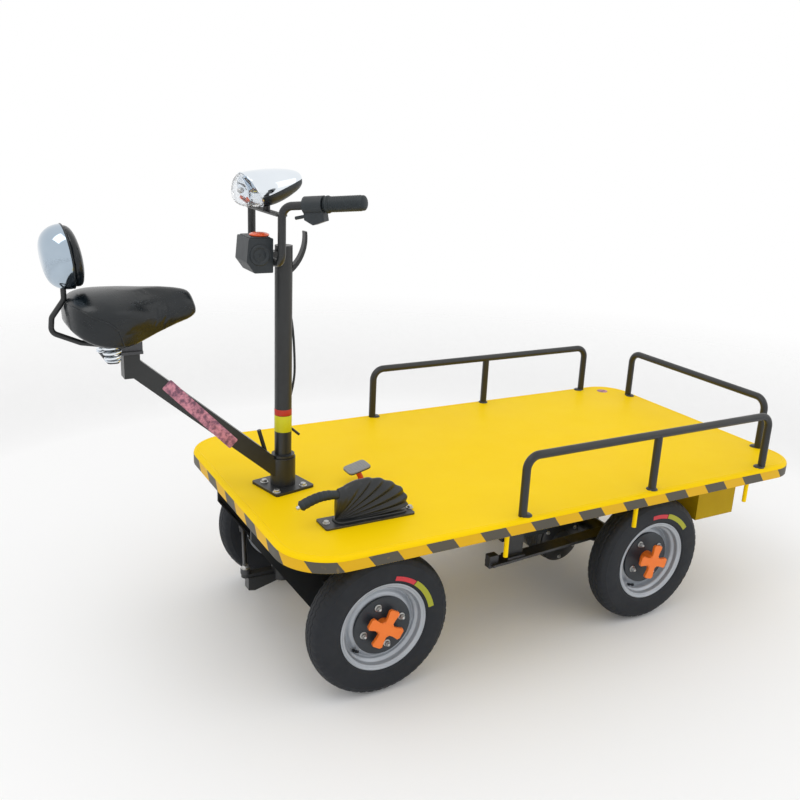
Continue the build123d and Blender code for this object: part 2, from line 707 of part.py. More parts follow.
def seat_arm():
    """The saddle's arm: a collar on the head tube, a slanted box tube, an upright socket and a lock rod."""
    z0 = DECK_TOP + FOOT_PLATE_THICK + SWIVEL_GAP
    outer_r = HEAD_TUBE_R + RUNNING_FIT + SWIVEL_WALL
    collar = post(COLUMN_X, 0, z0, z0 + SWIVEL_HEIGHT, outer_r)
    start = Vector(COLUMN_X - 20, 0, ARM_FOOT_Z)
    end = Vector(ARM_END_X, 0, ARM_END_TOP - ARM_END_HEIGHT / 2)
    axis = Plane(origin=start, x_dir=(0, 1, 0), z_dir=end - start)
    slant = extrude(axis * Rectangle(ARM_WIDTH, ARM_HEIGHT), (end - start).length)
    floor = box(ARM_END_X - 300, COLUMN_X + 60, -60, 60, z0 - 200, z0)
    socket_solid = box(
        ARM_END_X - ARM_END_DEPTH / 2,
        ARM_END_X + ARM_END_DEPTH / 2,
        -ARM_WIDTH / 2,
        ARM_WIDTH / 2,
        ARM_END_TOP - ARM_END_HEIGHT,
        ARM_END_TOP,
    )
    past = box(
        ARM_END_X - 120, ARM_END_X - ARM_END_DEPTH / 2, -60, 60, ARM_END_TOP - 200, ARM_END_TOP + 100
    )
    above = box(ARM_END_X - 120, ARM_END_X + 60, -60, 60, ARM_END_TOP, ARM_END_TOP + 100)
    arm = collar + (slant - floor - past - above) + socket_solid
    lock_foot = (COLUMN_X - 47, 0, ARM_FOOT_Z + 28)
    lock_head = (COLUMN_X - 75, 0, ARM_FOOT_Z + LOCK_ROD_HEAD)
    arm += bar(lock_foot, lock_head, LOCK_ROD_R)
    arm -= post(COLUMN_X, 0, z0 + SWIVEL_HEIGHT, z0 + SWIVEL_HEIGHT + 90, THRUST_RING_R + 6)
    return arm - post(COLUMN_X, 0, z0 - 1, z0 + SWIVEL_HEIGHT + 1, HEAD_TUBE_R + RUNNING_FIT)


def saddle_frame():
    """The saddle's steel base: a clamp plate on the arm's socket and two rails up to the saddle."""
    z = ARM_END_TOP
    frame = box(ARM_END_X - 28, ARM_END_X + 28, -30, 30, z, z + 8)
    frame += box(ARM_END_X - 64, ARM_END_X + 28, -24, 24, z + 8, z + 14)
    for side in (-1, 1):
        y0, y1 = sorted((side * 10, side * 24))
        frame += box(ARM_END_X - 64, ARM_END_X + 28, y0, y1, z + 14, SADDLE_BASE + 40)
    return frame - saddle()


def saddle():
    """The saddle: a domed loft, wide and deep behind, narrow and shallow at the nose."""
    sections = Sketch()
    for back, half, drop, shoulder, crown in SADDLE_SECTIONS:
        low = SADDLE_BASE + drop
        side_z = SADDLE_TOP - shoulder
        top = SADDLE_TOP - crown
        tuck = SADDLE_TUCK * half
        across = Plane(origin=(SADDLE_NOSE_X - back, 0, 0), x_dir=(0, 1, 0), z_dir=(1, 0, 0))
        with BuildSketch(across) as sketch:
            with BuildLine():
                Polyline((-half, side_z), (-tuck, low), (tuck, low), (half, side_z))
                ThreePointArc((half, side_z), (0, top), (-half, side_z))
            make_face()
        sections += sketch.sketch
    return loft(sections.faces())


def backrest_face(x, grow):
    """The egg-shaped outline of the backrest on a plane across the cart, grown or shrunk all round."""
    half = BACKREST_WIDTH / 2 + grow
    top = BACKREST_Z + BACKREST_HEIGHT / 2 + grow
    bottom = BACKREST_Z - BACKREST_HEIGHT / 2 - grow
    wide = BACKREST_Z + 14
    foot = 0.36 * half
    cheek = half * 0.8
    cheek_z = BACKREST_Z - BACKREST_CHEEK_DROP
    with BuildSketch(Plane(origin=(x, 0, 0), x_dir=(0, 1, 0), z_dir=(1, 0, 0))) as sketch:
        with BuildLine():
            ThreePointArc((-half, wide), (0, top), (half, wide))
            ThreePointArc((half, wide), (cheek, cheek_z), (foot, bottom + 6))
            ThreePointArc((foot, bottom + 6), (0, bottom), (-foot, bottom + 6))
            ThreePointArc((-foot, bottom + 6), (-cheek, cheek_z), (-half, wide))
        make_face()
    return sketch.sketch.faces()[0]


def leaned(shape):
    """Leans a backrest piece made upright away from the rider."""
    middle = Pos(BACKREST_X, 0, BACKREST_Z)
    return middle * Rot(0, -BACKREST_LEAN, 0) * middle.inverse() * shape


def backrest_shell():
    """The backrest's domed shell, away from the rider."""
    depth = BACKREST_SHELL_DEPTH
    steps = ((0, 0), (0.3, -4), (0.72, -20), (1.0, -48))
    return leaned(loft([backrest_face(BACKREST_X - depth * share, grow) for share, grow in steps]))


def backrest_pad():
    """The backrest's pad, rounded towards the rider."""
    thick = BACKREST_PAD_THICK
    steps = ((0.0, -4), (0.4, -5), (0.75, -14), (1.0, -32))
    faces = [backrest_face(BACKREST_X + SEAT_GAP + thick * share, grow) for share, grow in steps]
    return leaned(loft(faces))


def backrest_rod():
    """The bent rod that carries the backrest from the saddle's rails, looped behind the saddle."""
    x = BACKREST_X
    loop = BACK_ROD_LOOP_X
    low = ARM_END_TOP + 14 + BACK_ROD_R
    foot = BACKREST_Z - BACKREST_HEIGHT / 2
    route = [
        (ARM_END_X - 40, 0, low),
        (x + 20, 0, low + 14),
        (loop, 0, low + 46),
        (loop + 4, 0, low + 84),
        (x - 14, 0, foot - 26),
        (x - 14, 0, foot + 12),
    ]
    return tube_along(route, BACK_ROD_R, 20) - backrest_shell() - backrest_pad() - saddle()


def handlebar():
    """The handlebar: a U of tube with both ends swept back, its clamp and the light's strap."""
    x = COLUMN_X - BAR_FORWARD
    riser = RISER_SPAN / 2
    end_x = x + GRIP_END_BACK
    end_y = GRIP_END_SPAN / 2
    bar_tube = tube_along(
        [
            (end_x, -end_y, GRIP_END_Z),
            (x, -riser, BAR_BEND_Z),
            (x, -riser, RISER_FOOT_Z),
            (x, riser, RISER_FOOT_Z),
            (x, riser, BAR_BEND_Z),
            (end_x, end_y, GRIP_END_Z),
        ],
        BAR_R,
        BAR_BEND_R,
    )
    clamp = box(x - 6, COLUMN_X - 8, -20, 20, RISER_FOOT_Z - 20, RISER_FOOT_Z + 20)
    clamp -= post(COLUMN_X, 0, RISER_FOOT_Z - 60, RISER_FOOT_Z + 60, COLUMN_R + SEAT_GAP)
    half = LIGHT_STRAP_WIDTH / 2
    strap_top = LIGHT_STRAP_Z + LIGHT_STRAP_THICK
    strap = box(x - half, x + half, -riser, riser, LIGHT_STRAP_Z, strap_top)
    strap += post(x, 0, LIGHT_STRAP_Z, LIGHT_Z, 11) - headlight_body()
    return bar_tube + clamp + strap


def bar_line(side):
    """The end of the handlebar on one side and the direction from there towards its bend."""
    x = COLUMN_X - BAR_FORWARD
    end = Vector(x + GRIP_END_BACK, side * GRIP_END_SPAN / 2, GRIP_END_Z)
    bend = Vector(x, side * RISER_SPAN / 2, BAR_BEND_Z)
    return end, (bend - end).normalized()


def on_bar(side, first, last, outer_r, bore_r=None):
    """A round sleeve on one end of the handlebar, placed by distances from the bar's end."""
    end, along = bar_line(side)
    sleeve = bar(tuple(end + along * first), tuple(end + along * last), outer_r)
    if bore_r:
        sleeve -= bar(tuple(end + along * max(first, 0)), tuple(end + along * (last + 1)), bore_r)
    return sleeve


def lever_clamp(side):
    """A lever's perch on the handlebar: a sleeve, a wedge under it and a short blade."""
    end, along = bar_line(side)
    first = GRIP_LENGTH + 3
    last = first + LEVER_CLAMP_LENGTH
    bore = BAR_R + SEAT_GAP
    sleeve = on_bar(side, first, last, LEVER_CLAMP_R, bore)
    across = Vector(0, 0, 1).cross(along).normalized()
    middle = end + along * ((first + last) / 2)
    half = LEVER_CLAMP_LENGTH / 2
    wedge_points = [
        (-half, -bore - 3),
        (half, -bore - 3),
        (half, -LEVER_DROP + 14),
        (half - 24, -LEVER_DROP),
        (-half - 2, -LEVER_DROP + 9),
    ]
    plane = Plane(origin=middle, x_dir=along, z_dir=across * -1)
    wedge = extrude(plane * make_face(Polyline(*wedge_points, close=True)), LEVER_WIDTH / 2, both=True)
    start = plane.from_local_coords((half - 6, -LEVER_DROP + 24, 0))
    tip = plane.from_local_coords((half + 32, -LEVER_DROP + 19, 0))
    return sleeve + wedge + bar(tuple(start), tuple(tip), LEVER_R)


def on_light(shape):
    """Pitches a shape made on the headlight's own axis and puts it in place."""
    middle = LIGHT_FRONT_X + LIGHT_LENGTH / 2
    return Pos(middle, 0, LIGHT_Z) * Rot(0, -LIGHT_PITCH, 0) * Pos(-middle, 0, 0) * shape


def headlight_body():
    """The whole headlight: a drop shape, blunt in front and drawn out behind."""
    r = LIGHT_HEIGHT / 2
    x0 = LIGHT_FRONT_X
    x1 = x0 + LIGHT_LENGTH
    tail = (x1, 0)
    crown = (x0 + LIGHT_CROWN_RUN, r)
    with BuildPart() as part:
        with BuildSketch(Plane.XZ):
            with BuildLine():
                Line((x0, 0), tail)
                Line(tail, (x1, LIGHT_TAIL_R))
                ThreePointArc((x1, LIGHT_TAIL_R), (x0 + LIGHT_BACK_RUN, LIGHT_BACK_R), crown)
                ThreePointArc(crown, (x0 + LIGHT_BROW_RUN, LIGHT_BROW_R), (x0, 0))
            make_face()
        revolve(axis=Axis.X)
    wide = scale(part.part, by=(1, LIGHT_WIDTH / LIGHT_HEIGHT, 1))
    return on_light(wide)


def headlight_shell():
    """The headlight's shell behind the lens."""
    cut = on_light(box(LIGHT_FRONT_X - 10, LIGHT_FRONT_X + LENS_LENGTH, -100, 100, -100, 100))
    return headlight_body() - cut


def headlight_lens():
    """The headlight's clear lens."""
    keep = on_light(box(LIGHT_FRONT_X - 10, LIGHT_FRONT_X + LENS_LENGTH, -100, 100, -100, 100))
    return headlight_body() & keep


def control_box():
    """The control box ahead of the handlebar, with slanted front edges."""
    x1 = COLUMN_X - BAR_FORWARD - BAR_R
    x0 = x1 - BOX_DEPTH
    z1 = BOX_TOP_Z
    z0 = z1 - BOX_HEIGHT
    points = [(x0 + 6, z1), (x1, z1), (x1, z0), (x0 + 22, z0), (x0, z0 + 30)]
    across = Plane(origin=(0, 0, 0), x_dir=(1, 0, 0), z_dir=(0, -1, 0))
    face = across * make_face(Polyline(*points, close=True))
    solid = extrude(face, BOX_WIDTH / 2, both=True)
    return Pos(0, BOX_OFFSET, 0) * fillet(solid.edges().filter_by(Axis.Y), 3)


def box_button():
    """The round push button on top of the control box."""
    x = COLUMN_X - BAR_FORWARD - BAR_R - BUTTON_R + BUTTON_REAR_GAP
    y = BOX_OFFSET + BUTTON_OFFSET
    return post(x, y, BOX_TOP_Z, BOX_TOP_Z + BUTTON_HEIGHT, BUTTON_R)


def rear_axle():
    """The driven rear axle: tube, spring seats, drive case, gear case and the motor across ahead of it."""
    half = REAR_TUBE_LENGTH / 2
    tube = bar((REAR_X, -half, TYRE_R), (REAR_X, half, TYRE_R), REAR_TUBE_R)
    tube += bar((REAR_X, -DIFF_WIDTH / 2, TYRE_R), (REAR_X, DIFF_WIDTH / 2, TYRE_R), DIFF_R)
    for side in (-1, 1):
        y = side * CHANNEL_SPAN / 2
        tube += box(REAR_X - 45, REAR_X + 45, y - 25, y + 25, TYRE_R, SPRING_TOP)
        reach = REAR_TRACK / 2 + 6
        tube += bar((REAR_X, side * half, TYRE_R), (REAR_X, side * reach, TYRE_R), AXLE_R)
    motor_x = REAR_X - MOTOR_AHEAD
    wide = DIFF_WIDTH / 2
    tall = GEAR_CASE_HEIGHT / 2
    tube += box(motor_x, REAR_X, -wide, wide, TYRE_R - tall, TYRE_R + tall)
    far_end = MOTOR_NEAR_Y + MOTOR_LENGTH
    return tube + bar((motor_x, MOTOR_NEAR_Y, MOTOR_Z), (motor_x, far_end, MOTOR_Z), MOTOR_R)


def leaf_spring(side):
    """A long leaf spring over the rear axle, with a block at each end and one under its hanger."""
    y = side * CHANNEL_SPAN / 2
    t = LEAF_THICK
    seat = SPRING_SEAT_LENGTH / 2
    under = [
        (SPRING_FRONT_X, SPRING_END_Z),
        (REAR_X - seat, SPRING_TOP),
        (REAR_X + seat, SPRING_TOP),
        (SPRING_REAR_X, SPRING_END_Z),
    ]
    outline = under + [(x, z + t) for x, z in reversed(under)]
    across = Plane(origin=(0, y, 0), x_dir=(1, 0, 0), z_dir=(0, -1, 0))
    spring = extrude(across * make_face(Polyline(*outline, close=True)), SPRING_WIDTH / 2, both=True)
    low = SPRING_END_Z - SPRING_BLOCK_DROP
    high = SPRING_END_Z + SPRING_BLOCK_RISE
    half_block = SPRING_BLOCK_WIDTH / 2
    y0, y1 = y - half_block, y + half_block
    for x in (SPRING_FRONT_X, SPRING_REAR_X):
        spring += box(x - SPRING_BLOCK_FRONT, x + SPRING_BLOCK_REAR, y0, y1, low, high)
    hanger_x = DECK_FRONT_X + SPRING_HANGER_SETBACK
    hanger_end = hanger_x + SPRING_HANGER_LENGTH
    block_top = SPRING_END_Z + SPRING_SADDLE_RISE
    return spring + box(hanger_x, hanger_end, y - 20, y + 20, SPRING_END_Z + t / 2, block_top)


def battery_box():
    """The battery box under the rear of the deck."""
    half = BATTERY_WIDTH / 2
    return box(BATTERY_FRONT, BATTERY_REAR, -half, half, BATTERY_BOTTOM, CHANNEL_LOW)


def controller_box():
    """The motor controller's case under the middle of the deck."""
    x0 = DECK_FRONT_X + CONTROLLER_SETBACK
    y0 = CONTROLLER_Y - CONTROLLER_WIDTH / 2
    y1 = CONTROLLER_Y + CONTROLLER_WIDTH / 2
    return box(x0, x0 + CONTROLLER_LENGTH, y0, y1, CONTROLLER_BOTTOM, DECK_UNDER)


def brake_plate():
    """The hand brake's base plate on the deck."""
    half = BRAKE_PLATE_LENGTH / 2
    wide = BRAKE_PLATE_WIDTH / 2
    top = DECK_TOP + BRAKE_PLATE_THICK
    plate = box(BRAKE_X - half, BRAKE_X + half, BRAKE_Y - wide, BRAKE_Y + wide, DECK_TOP, top)
    return fillet(plate.edges().filter_by(Axis.Z), 6)


def brake_boot():
    """The soft boot round the hand brake lever, narrow at the lever's neck and round behind."""
    z = DECK_TOP + BRAKE_PLATE_THICK
    x0 = BRAKE_X - BOOT_FRONT
    x1 = BRAKE_X + BOOT_REAR
    crown = (BRAKE_X - 8, z + BOOT_HEIGHT)
    neck = (x0 - 6, z + BOOT_NECK_HEIGHT)
    with BuildPart() as part:
        with BuildSketch(Plane(origin=(0, BRAKE_Y, 0), x_dir=(1, 0, 0), z_dir=(0, -1, 0))):
            with BuildLine():
                Line((x0, z), (x1, z))
                ThreePointArc((x1, z), (BRAKE_X + BOOT_BACK_RUN, z + BOOT_BACK_HEIGHT), crown)
                Line(crown, neck)
                Line(neck, (x0, z))
            make_face()
        extrude(amount=BOOT_WIDTH / 2, both=True)
    half = BOOT_WIDTH / 2
    narrow = BOOT_NECK_WIDTH / 2
    with BuildPart() as plan:
        with BuildSketch(Plane(origin=(BRAKE_X, BRAKE_Y, z - 1), x_dir=(1, 0, 0), z_dir=(0, 0, 1))):
            with BuildLine():
                Line((-BOOT_FRONT - 7, narrow), (-BOOT_FRONT - 7, -narrow))
                Line((-BOOT_FRONT - 7, -narrow), (0, -half))
                Line((0, -half), (BOOT_REAR - 30, -half))
                ThreePointArc((BOOT_REAR - 30, -half), (BOOT_REAR, 0), (BOOT_REAR - 30, half))
                Line((BOOT_REAR - 30, half), (0, half))
                Line((0, half), (-BOOT_FRONT - 7, narrow))
            make_face()
        extrude(amount=BOOT_HEIGHT + 20)
    return part.part & plan.part


def brake_lever():
    """The hand brake lever's grip with its push button."""
    z = DECK_TOP + BRAKE_PLATE_THICK + BRAKE_GRIP_RISE
    root = Vector(BRAKE_X - BOOT_FRONT - 4, BRAKE_Y, z)
    tip = Vector(BRAKE_X - BRAKE_GRIP_TIP, BRAKE_Y, z - 18)
    along = (tip - root).normalized()
    grip = bar(tuple(root - along * 20), tuple(tip), BRAKE_GRIP_R) - brake_boot()
    return grip + bar(tuple(tip - along), tuple(tip + along * 9), BRAKE_BUTTON_R)


def foot_pedal():
    """The foot pedal: a slanted pad with rounded corners on a stem."""
    stem = bar((PEDAL_X + 16, PEDAL_Y, DECK_TOP - 20), (PEDAL_X, PEDAL_Y, PEDAL_Z + 2), 9)
    stem -= box(PEDAL_X - 60, PEDAL_X + 60, PEDAL_Y - 60, PEDAL_Y + 60, DECK_TOP - 60, DECK_TOP)
    pad = extrude(RectangleRounded(PEDAL_LENGTH, PEDAL_WIDTH, 14), PEDAL_THICK)
    return stem + Pos(PEDAL_X, PEDAL_Y, PEDAL_Z) * Rot(0, -PEDAL_TILT, 0) * pad


parts = {
    "deck": deck(),
    "under_frame": under_frame(),
    "guard_rail_near": side_rail(-1),
    "guard_rail_far": side_rail(1),
    "guard_rail_rear": rear_rail(),
    "column_foot": column_foot(),
    "front_axle": front_beam(),
    "axle_hanger_near": axle_hanger(-1),
    "axle_hanger_far": axle_hanger(1),
    "rear_axle": rear_axle(),
    "leaf_spring_near": leaf_spring(-1),
    "leaf_spring_far": leaf_spring(1),
    "battery_box": battery_box(),
    "controller_box": controller_box(),
    "brake_plate": brake_plate(),
    "brake_boot": brake_boot(),
    "brake_lever": brake_lever(),
    "foot_pedal": foot_pedal(),
    "steering_column": column(),
    "column_cable": column_cable(),
    "handlebar": handlebar(),
    "headlight_shell": headlight_shell(),
    "headlight_lens": headlight_lens(),
    "control_box": control_box(),
    "box_button": box_button(),
    "knuckle_near": knuckle(-1),
    "knuckle_far": knuckle(1),
    "drag_link": drag_link(),
    "tie_rod": tie_rod(),
    "seat_arm": seat_arm(),
    "saddle_frame": saddle_frame(),
    "saddle": saddle(),
    "backrest_rod": backrest_rod(),
    "backrest_shell": backrest_shell(),
    "backrest_pad": backrest_pad(),
}

# Ends of the handlebar: name and side
for name, side in (("near", -1), ("far", 1)):
    parts[f"grip_{name}"] = on_bar(side, -GRIP_OVERHANG, GRIP_LENGTH, GRIP_R, BAR_R + SEAT_GAP)
    parts[f"lever_clamp_{name}"] = lever_clamp(side)

# Wheels: name, axle place, side, track, place of the disc's face and turn of the cross cap
WHEELS = [
    ("front_near", FRONT_X, -1, FRONT_TRACK, FRONT_DISC_FACE, 15.0),
    ("front_far", FRONT_X, 1, FRONT_TRACK, FRONT_DISC_FACE, 0.0),
    ("rear_near", REAR_X, -1, REAR_TRACK, REAR_DISC_FACE, 30.0),
    ("rear_far", REAR_X, 1, REAR_TRACK, REAR_DISC_FACE, 0.0),
]
for name, x, side, track, disc_face, turn in WHEELS:
    parts[f"tyre_{name}"] = on_wheel(tyre(), x, side, track)
    parts[f"rim_{name}"] = on_wheel(rim(disc_face), x, side, track)
    parts[f"hub_{name}"] = on_wheel(hub(disc_face), x, side, track)
    parts[f"cap_{name}"] = on_wheel(cross_cap(disc_face, turn), x, side, track)

for name, shape in parts.items():
    export_step(shape, f"parts/{name}.step")
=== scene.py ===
"""Looks of the electric platform cart: finishes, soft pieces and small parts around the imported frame.

Everything is in metres, in the frame's own axes: the cart's front faces -X and its near side faces -Y.
"""

import logging
import math
from dataclasses import dataclass
from enum import Enum

import bpy
import numpy as np
from mathutils import Matrix, Vector
from mathutils.bvhtree import BVHTree


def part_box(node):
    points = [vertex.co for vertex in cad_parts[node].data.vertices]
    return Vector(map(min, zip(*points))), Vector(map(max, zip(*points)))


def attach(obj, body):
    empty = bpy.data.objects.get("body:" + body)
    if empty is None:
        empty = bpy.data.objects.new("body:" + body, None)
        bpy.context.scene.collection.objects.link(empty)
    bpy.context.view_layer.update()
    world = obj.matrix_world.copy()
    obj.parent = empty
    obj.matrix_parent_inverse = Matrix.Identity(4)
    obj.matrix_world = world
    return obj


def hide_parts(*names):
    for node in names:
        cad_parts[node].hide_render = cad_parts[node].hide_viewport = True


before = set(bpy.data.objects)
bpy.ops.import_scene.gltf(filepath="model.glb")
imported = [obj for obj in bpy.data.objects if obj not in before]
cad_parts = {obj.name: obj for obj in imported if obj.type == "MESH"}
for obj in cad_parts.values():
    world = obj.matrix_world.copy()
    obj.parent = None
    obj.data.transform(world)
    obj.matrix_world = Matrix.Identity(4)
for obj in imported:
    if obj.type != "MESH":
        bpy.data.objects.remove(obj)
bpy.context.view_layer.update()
LOG = logging.getLogger("cart")
Array = np.ndarray
Object = bpy.types.Object
Socket = bpy.types.NodeSocket
Colour = tuple[float, float, float]
Place = tuple[float, float, float] | Array

PAINT = 0.0004
COAT_ROUGHNESS = 0.12
PUFF_FRAMES = 20
PUFF_PRESSURE = 4.0


class Side(Enum):
    """The two long sides of the cart, by the sign of Y."""

    NEAR = -1
    FAR = 1

    @property
    def word(self) -> str:
        """The side's name as the frame's nodes spell it."""
        return self.name.lower()


class Skin(Enum):
    """How the normals of a piece are shaded."""

    SMOOTH = 180.0
    CREASED = 38.0
    CRISP = 20.0


# Mesh work


@dataclass
class Patch:
    """Points with the quads and triangles between them."""

    points: Array
    quads: Array
    tris: Array

    def volume(self) -> float:
        """The signed volume inside the faces, by the sum of corner products over their triangles."""
        fans = np.concatenate([self.quads[:, [0, 1, 2]], self.quads[:, [0, 2, 3]], self.tris])
        a, b, c = (self.points[fans[:, k]] for k in range(3))
        return float(np.einsum("ij,ij->i", a, np.cross(b, c)).sum()) / 6

    def outward(self) -> "Patch":
        """The same patch with its faces turned outwards."""
        if self.volume() >= 0:
            return self
        return Patch(self.points, self.quads[:, ::-1], self.tris[:, ::-1])

    def placed(self, origin: Place, x_axis: Place = (1, 0, 0), z_axis: Place = (0, 0, 1)) -> "Patch":
        """Moves the patch to an origin with its own X and Z along the given directions.

        Args:
            origin: Where the patch's own origin goes.
            x_axis: Direction of its X, made square to Z.
            z_axis: Direction of its Z.

        Returns:
            The moved patch, faces outwards.
        """
        z = np.array(z_axis, float) / np.linalg.norm(z_axis)
        x = np.array(x_axis, float) - np.dot(x_axis, z) * z
        x /= np.linalg.norm(x)
        turn = np.stack([x, np.cross(z, x), z])
        return Patch(self.points @ turn + np.array(origin), self.quads, self.tris).outward()


def joined(*patches: Patch) -> Patch:
    """Puts patches side by side in one, each with its faces outwards.

    Args:
        patches: The patches, which share no points.

    Returns:
        One patch with all their faces.
    """
    starts = np.cumsum([0] + [len(p.points) for p in patches[:-1]])
    turned_out = [p.outward() for p in patches]
    return Patch(
        np.concatenate([p.points for p in turned_out]),
        np.concatenate([p.quads + s for p, s in zip(turned_out, starts)]),
        np.concatenate([p.tris + s for p, s in zip(turned_out, starts)]),
    )


def scattered(patch: Patch, places: list | Array, **axes: Place) -> Patch:
    """Copies of one patch at several places, all turned the same way by the axes that placed takes."""
    return joined(*(patch.placed(place, **axes) for place in places))


def merged(*parts: float | Array) -> Array:
    """Coordinates put side by side along a new last axis, after they are spread to one shape."""
    return np.stack(np.broadcast_arrays(*parts), axis=-1)


def polar(radius: float | Array, angle: Array, height: float | Array) -> Array:
    """Points about Z: radius times cosine, radius times sine, height."""
    return merged(radius * np.cos(angle), radius * np.sin(angle), height)


def angles(count: int) -> Array:
    """Equal steps of one whole turn, in radians."""
    return np.arange(count) * 2 * np.pi / count


def circle(count: int) -> Array:
    """Unit circle points of shape (count, 2): cosine and sine of equal steps."""
    turn = angles(count)
    return merged(np.cos(turn), np.sin(turn))


def stack(rings: Array, closed: bool = False) -> Patch:
    """Skins a row of closed rings; the ends are closed by fans round each end ring's mean point.

    Args:
        rings: Points of shape (rings, points of a ring, 3).
        closed: Joins the last ring to the first, with no end fans.

    Returns:
        The closed patch, faces outwards.
    """
    n, k = rings.shape[:2]
    i, j = np.meshgrid(np.arange(n if closed else n - 1), np.arange(k), indexing="ij")
    i2, j2 = (i + 1) % n, (j + 1) % k
    quads = merged(i * k + j, i2 * k + j, i2 * k + j2, i * k + j2).reshape(-1, 4)
    points = rings.reshape(-1, 3)
    tris = np.zeros((0, 3), int)
    if not closed:
        points = np.concatenate([points, rings[[0, -1]].mean(axis=1)])
        r = np.arange(k)
        r2, last = (r + 1) % k, (n - 1) * k
        tris = np.concatenate([merged(r, r2, n * k), merged(last + r2, last + r, n * k + 1)])
    return Patch(points, quads, tris).outward()


def turned(profile: list, sides: int = 48) -> Patch:
    """A solid of revolution about Z: each profile station (radius, height) becomes a ring of equal steps."""
    radius, height = np.array(profile, float).T[..., None]
    return stack(polar(radius, angles(sides), height))


def hoop(section: list | Array, steps: int = 128) -> Patch:
    """A closed section of (radius, height) points carried once round Z in equal steps."""
    radius, height = np.array(section, float).T
    return stack(polar(radius, angles(steps)[:, None], height), closed=True)


def swept(
    path: Array, radius: float | Array, sides: int = 16, closed: bool = False, guide: Place = (0, 1, 0),
) -> Patch:
    """A round tube along a path: each ring stands square to the path's central difference.

    Args:
        path: Path points of shape (n, 3).
        radius: One radius, or one for each path point.
        sides: Points of each ring.
        closed: The path closes on itself.
        guide: A direction that the path never runs along, from which the rings start.

    Returns:
        The closed patch.
    """
    path = np.asarray(path, float)
    ahead = np.roll(path, -1, 0) - np.roll(path, 1, 0) if closed else np.gradient(path, axis=0)
    ahead /= np.linalg.norm(ahead, axis=1, keepdims=True)
    first = np.cross(ahead, np.array(guide, float))
    first /= np.linalg.norm(first, axis=1, keepdims=True)
    second = np.cross(ahead, first)
    r = np.broadcast_to(np.asarray(radius, float), (len(path),))[:, None, None]
    c = circle(sides)
    ring = c[None, :, 0, None] * first[:, None] + c[None, :, 1, None] * second[:, None]
    return stack(path[:, None] + r * ring, closed=closed)


def smoothed(points: Array, rounds: int = 2, closed: bool = True) -> Array:
    """Cuts corners: each round puts points at a quarter and three quarters of every span.

    Args:
        points: Points of shape (n, m).
        rounds: How many times the corners are cut.
        closed: The row closes on itself; an open row keeps its two end points.

    Returns:
        The finer row of points.
    """
    row = np.asarray(points, float)
    for _ in range(rounds):
        after = np.roll(row, -1, 0) if closed else row[1:]
        here = row if closed else row[:-1]
        cut = np.stack([0.75 * here + 0.25 * after, 0.25 * here + 0.75 * after], axis=1).reshape(-1, row.shape[1])
        row = cut if closed else np.concatenate([row[:1], cut[1:-1], row[-1:]])
    return row


def resampled(points: Array, count: int) -> Array:
    """Points at equal steps of arc length along an open row.

    Args:
        points: Points of shape (n, m).
        count: How many points to return.

    Returns:
        Points of shape (count, m).
    """
    steps = np.linalg.norm(np.diff(points, axis=0), axis=1)
    run = np.concatenate([[0], np.cumsum(steps)])
    where = np.linspace(0, run[-1], count)
    return np.stack([np.interp(where, run, points[:, k]) for k in range(points.shape[1])], axis=-1)


def rounded_outline(width: float, height: float, radius: float, arc: int = 8) -> Array:
    """A rectangle with round corners about the origin, as quarter circles about its four corner centres.

    Args:
        width: Full size along X.
        height: Full size along Y.
        radius: Corner radius.
        arc: Points of each corner.

    Returns:
        Points of shape (4 * arc, 2), counterclockwise.
    """
    turn = np.linspace(0, np.pi / 2, arc)[None] + np.arange(4)[:, None] * np.pi / 2
    signs = np.array([(1, 1), (-1, 1), (-1, -1), (1, -1)])
    centres = signs * np.array([width / 2 - radius, height / 2 - radius])
    rim = radius * merged(np.cos(turn), np.sin(turn))
    return (centres[:, None] + rim).reshape(-1, 2)


def slab(outline: Array, levels: list) -> Patch:
    """A plate with shaped edges: at each level (height, inset) the outline moves in along its corner normals.

    Args:
        outline: Counterclockwise points of shape (k, 2).
        levels: Heights with their insets, from the bottom up.

    Returns:
        The closed patch.
    """
    along = np.roll(outline, -1, 0) - np.roll(outline, 1, 0)
    normal = merged(along[:, 1], -along[:, 0])
    normal /= np.maximum(np.linalg.norm(normal, axis=1, keepdims=True), 1e-9)
    height, inset = np.array(levels, float).T
    flat = outline[None] - inset[:, None, None] * normal[None]
    return stack(merged(flat[..., 0], flat[..., 1], height[:, None]))


def hex_bolt(size: float, head: float) -> Patch:
    """A washer and a hexagon head with chamfered corners, standing on z = 0.

    Args:
        size: Radius of the head over its corners.
        head: Height of the head.

    Returns:
        The two closed shapes as one patch.
    """
    six = circle(6) * size
    outline = np.stack([six * 0.97 + np.roll(six, 1, 0) * 0.03, six * 0.97 + np.roll(six, -1, 0) * 0.03], axis=1)
    washer = turned([(size * 1.25, 0), (size * 1.25, head * 0.22), (size * 1.15, head * 0.3)], 24)
    top = slab(outline.reshape(-1, 2), [(head * 0.25, 0), (head * 0.95, 0), (head * 1.2, size * 0.16)])
    return joined(washer, top)


def helix(radius: float, height: float, turns: float, wire: float, belly: float = 0.0) -> Patch:
    """A coil spring about Z: the path turns evenly while it rises, and swells by a half sine towards its middle.

    Args:
        radius: Middle radius of the coil at its ends.
        height: Rise from the first to the last point.
        turns: Number of turns.
        wire: Radius of the wire.
        belly: Growth of the radius at the middle.

    Returns:
        The closed patch.
    """
    t = np.linspace(0, 1, int(turns * 28))
    turn = 2 * np.pi * turns * t
    rise = height * np.clip(1.16 * t - 0.08, 0, 1)
    wide = radius + belly * np.sin(np.pi * t)
    return swept(polar(wide, turn, rise), wire, 10, guide=(0, 0, 1))


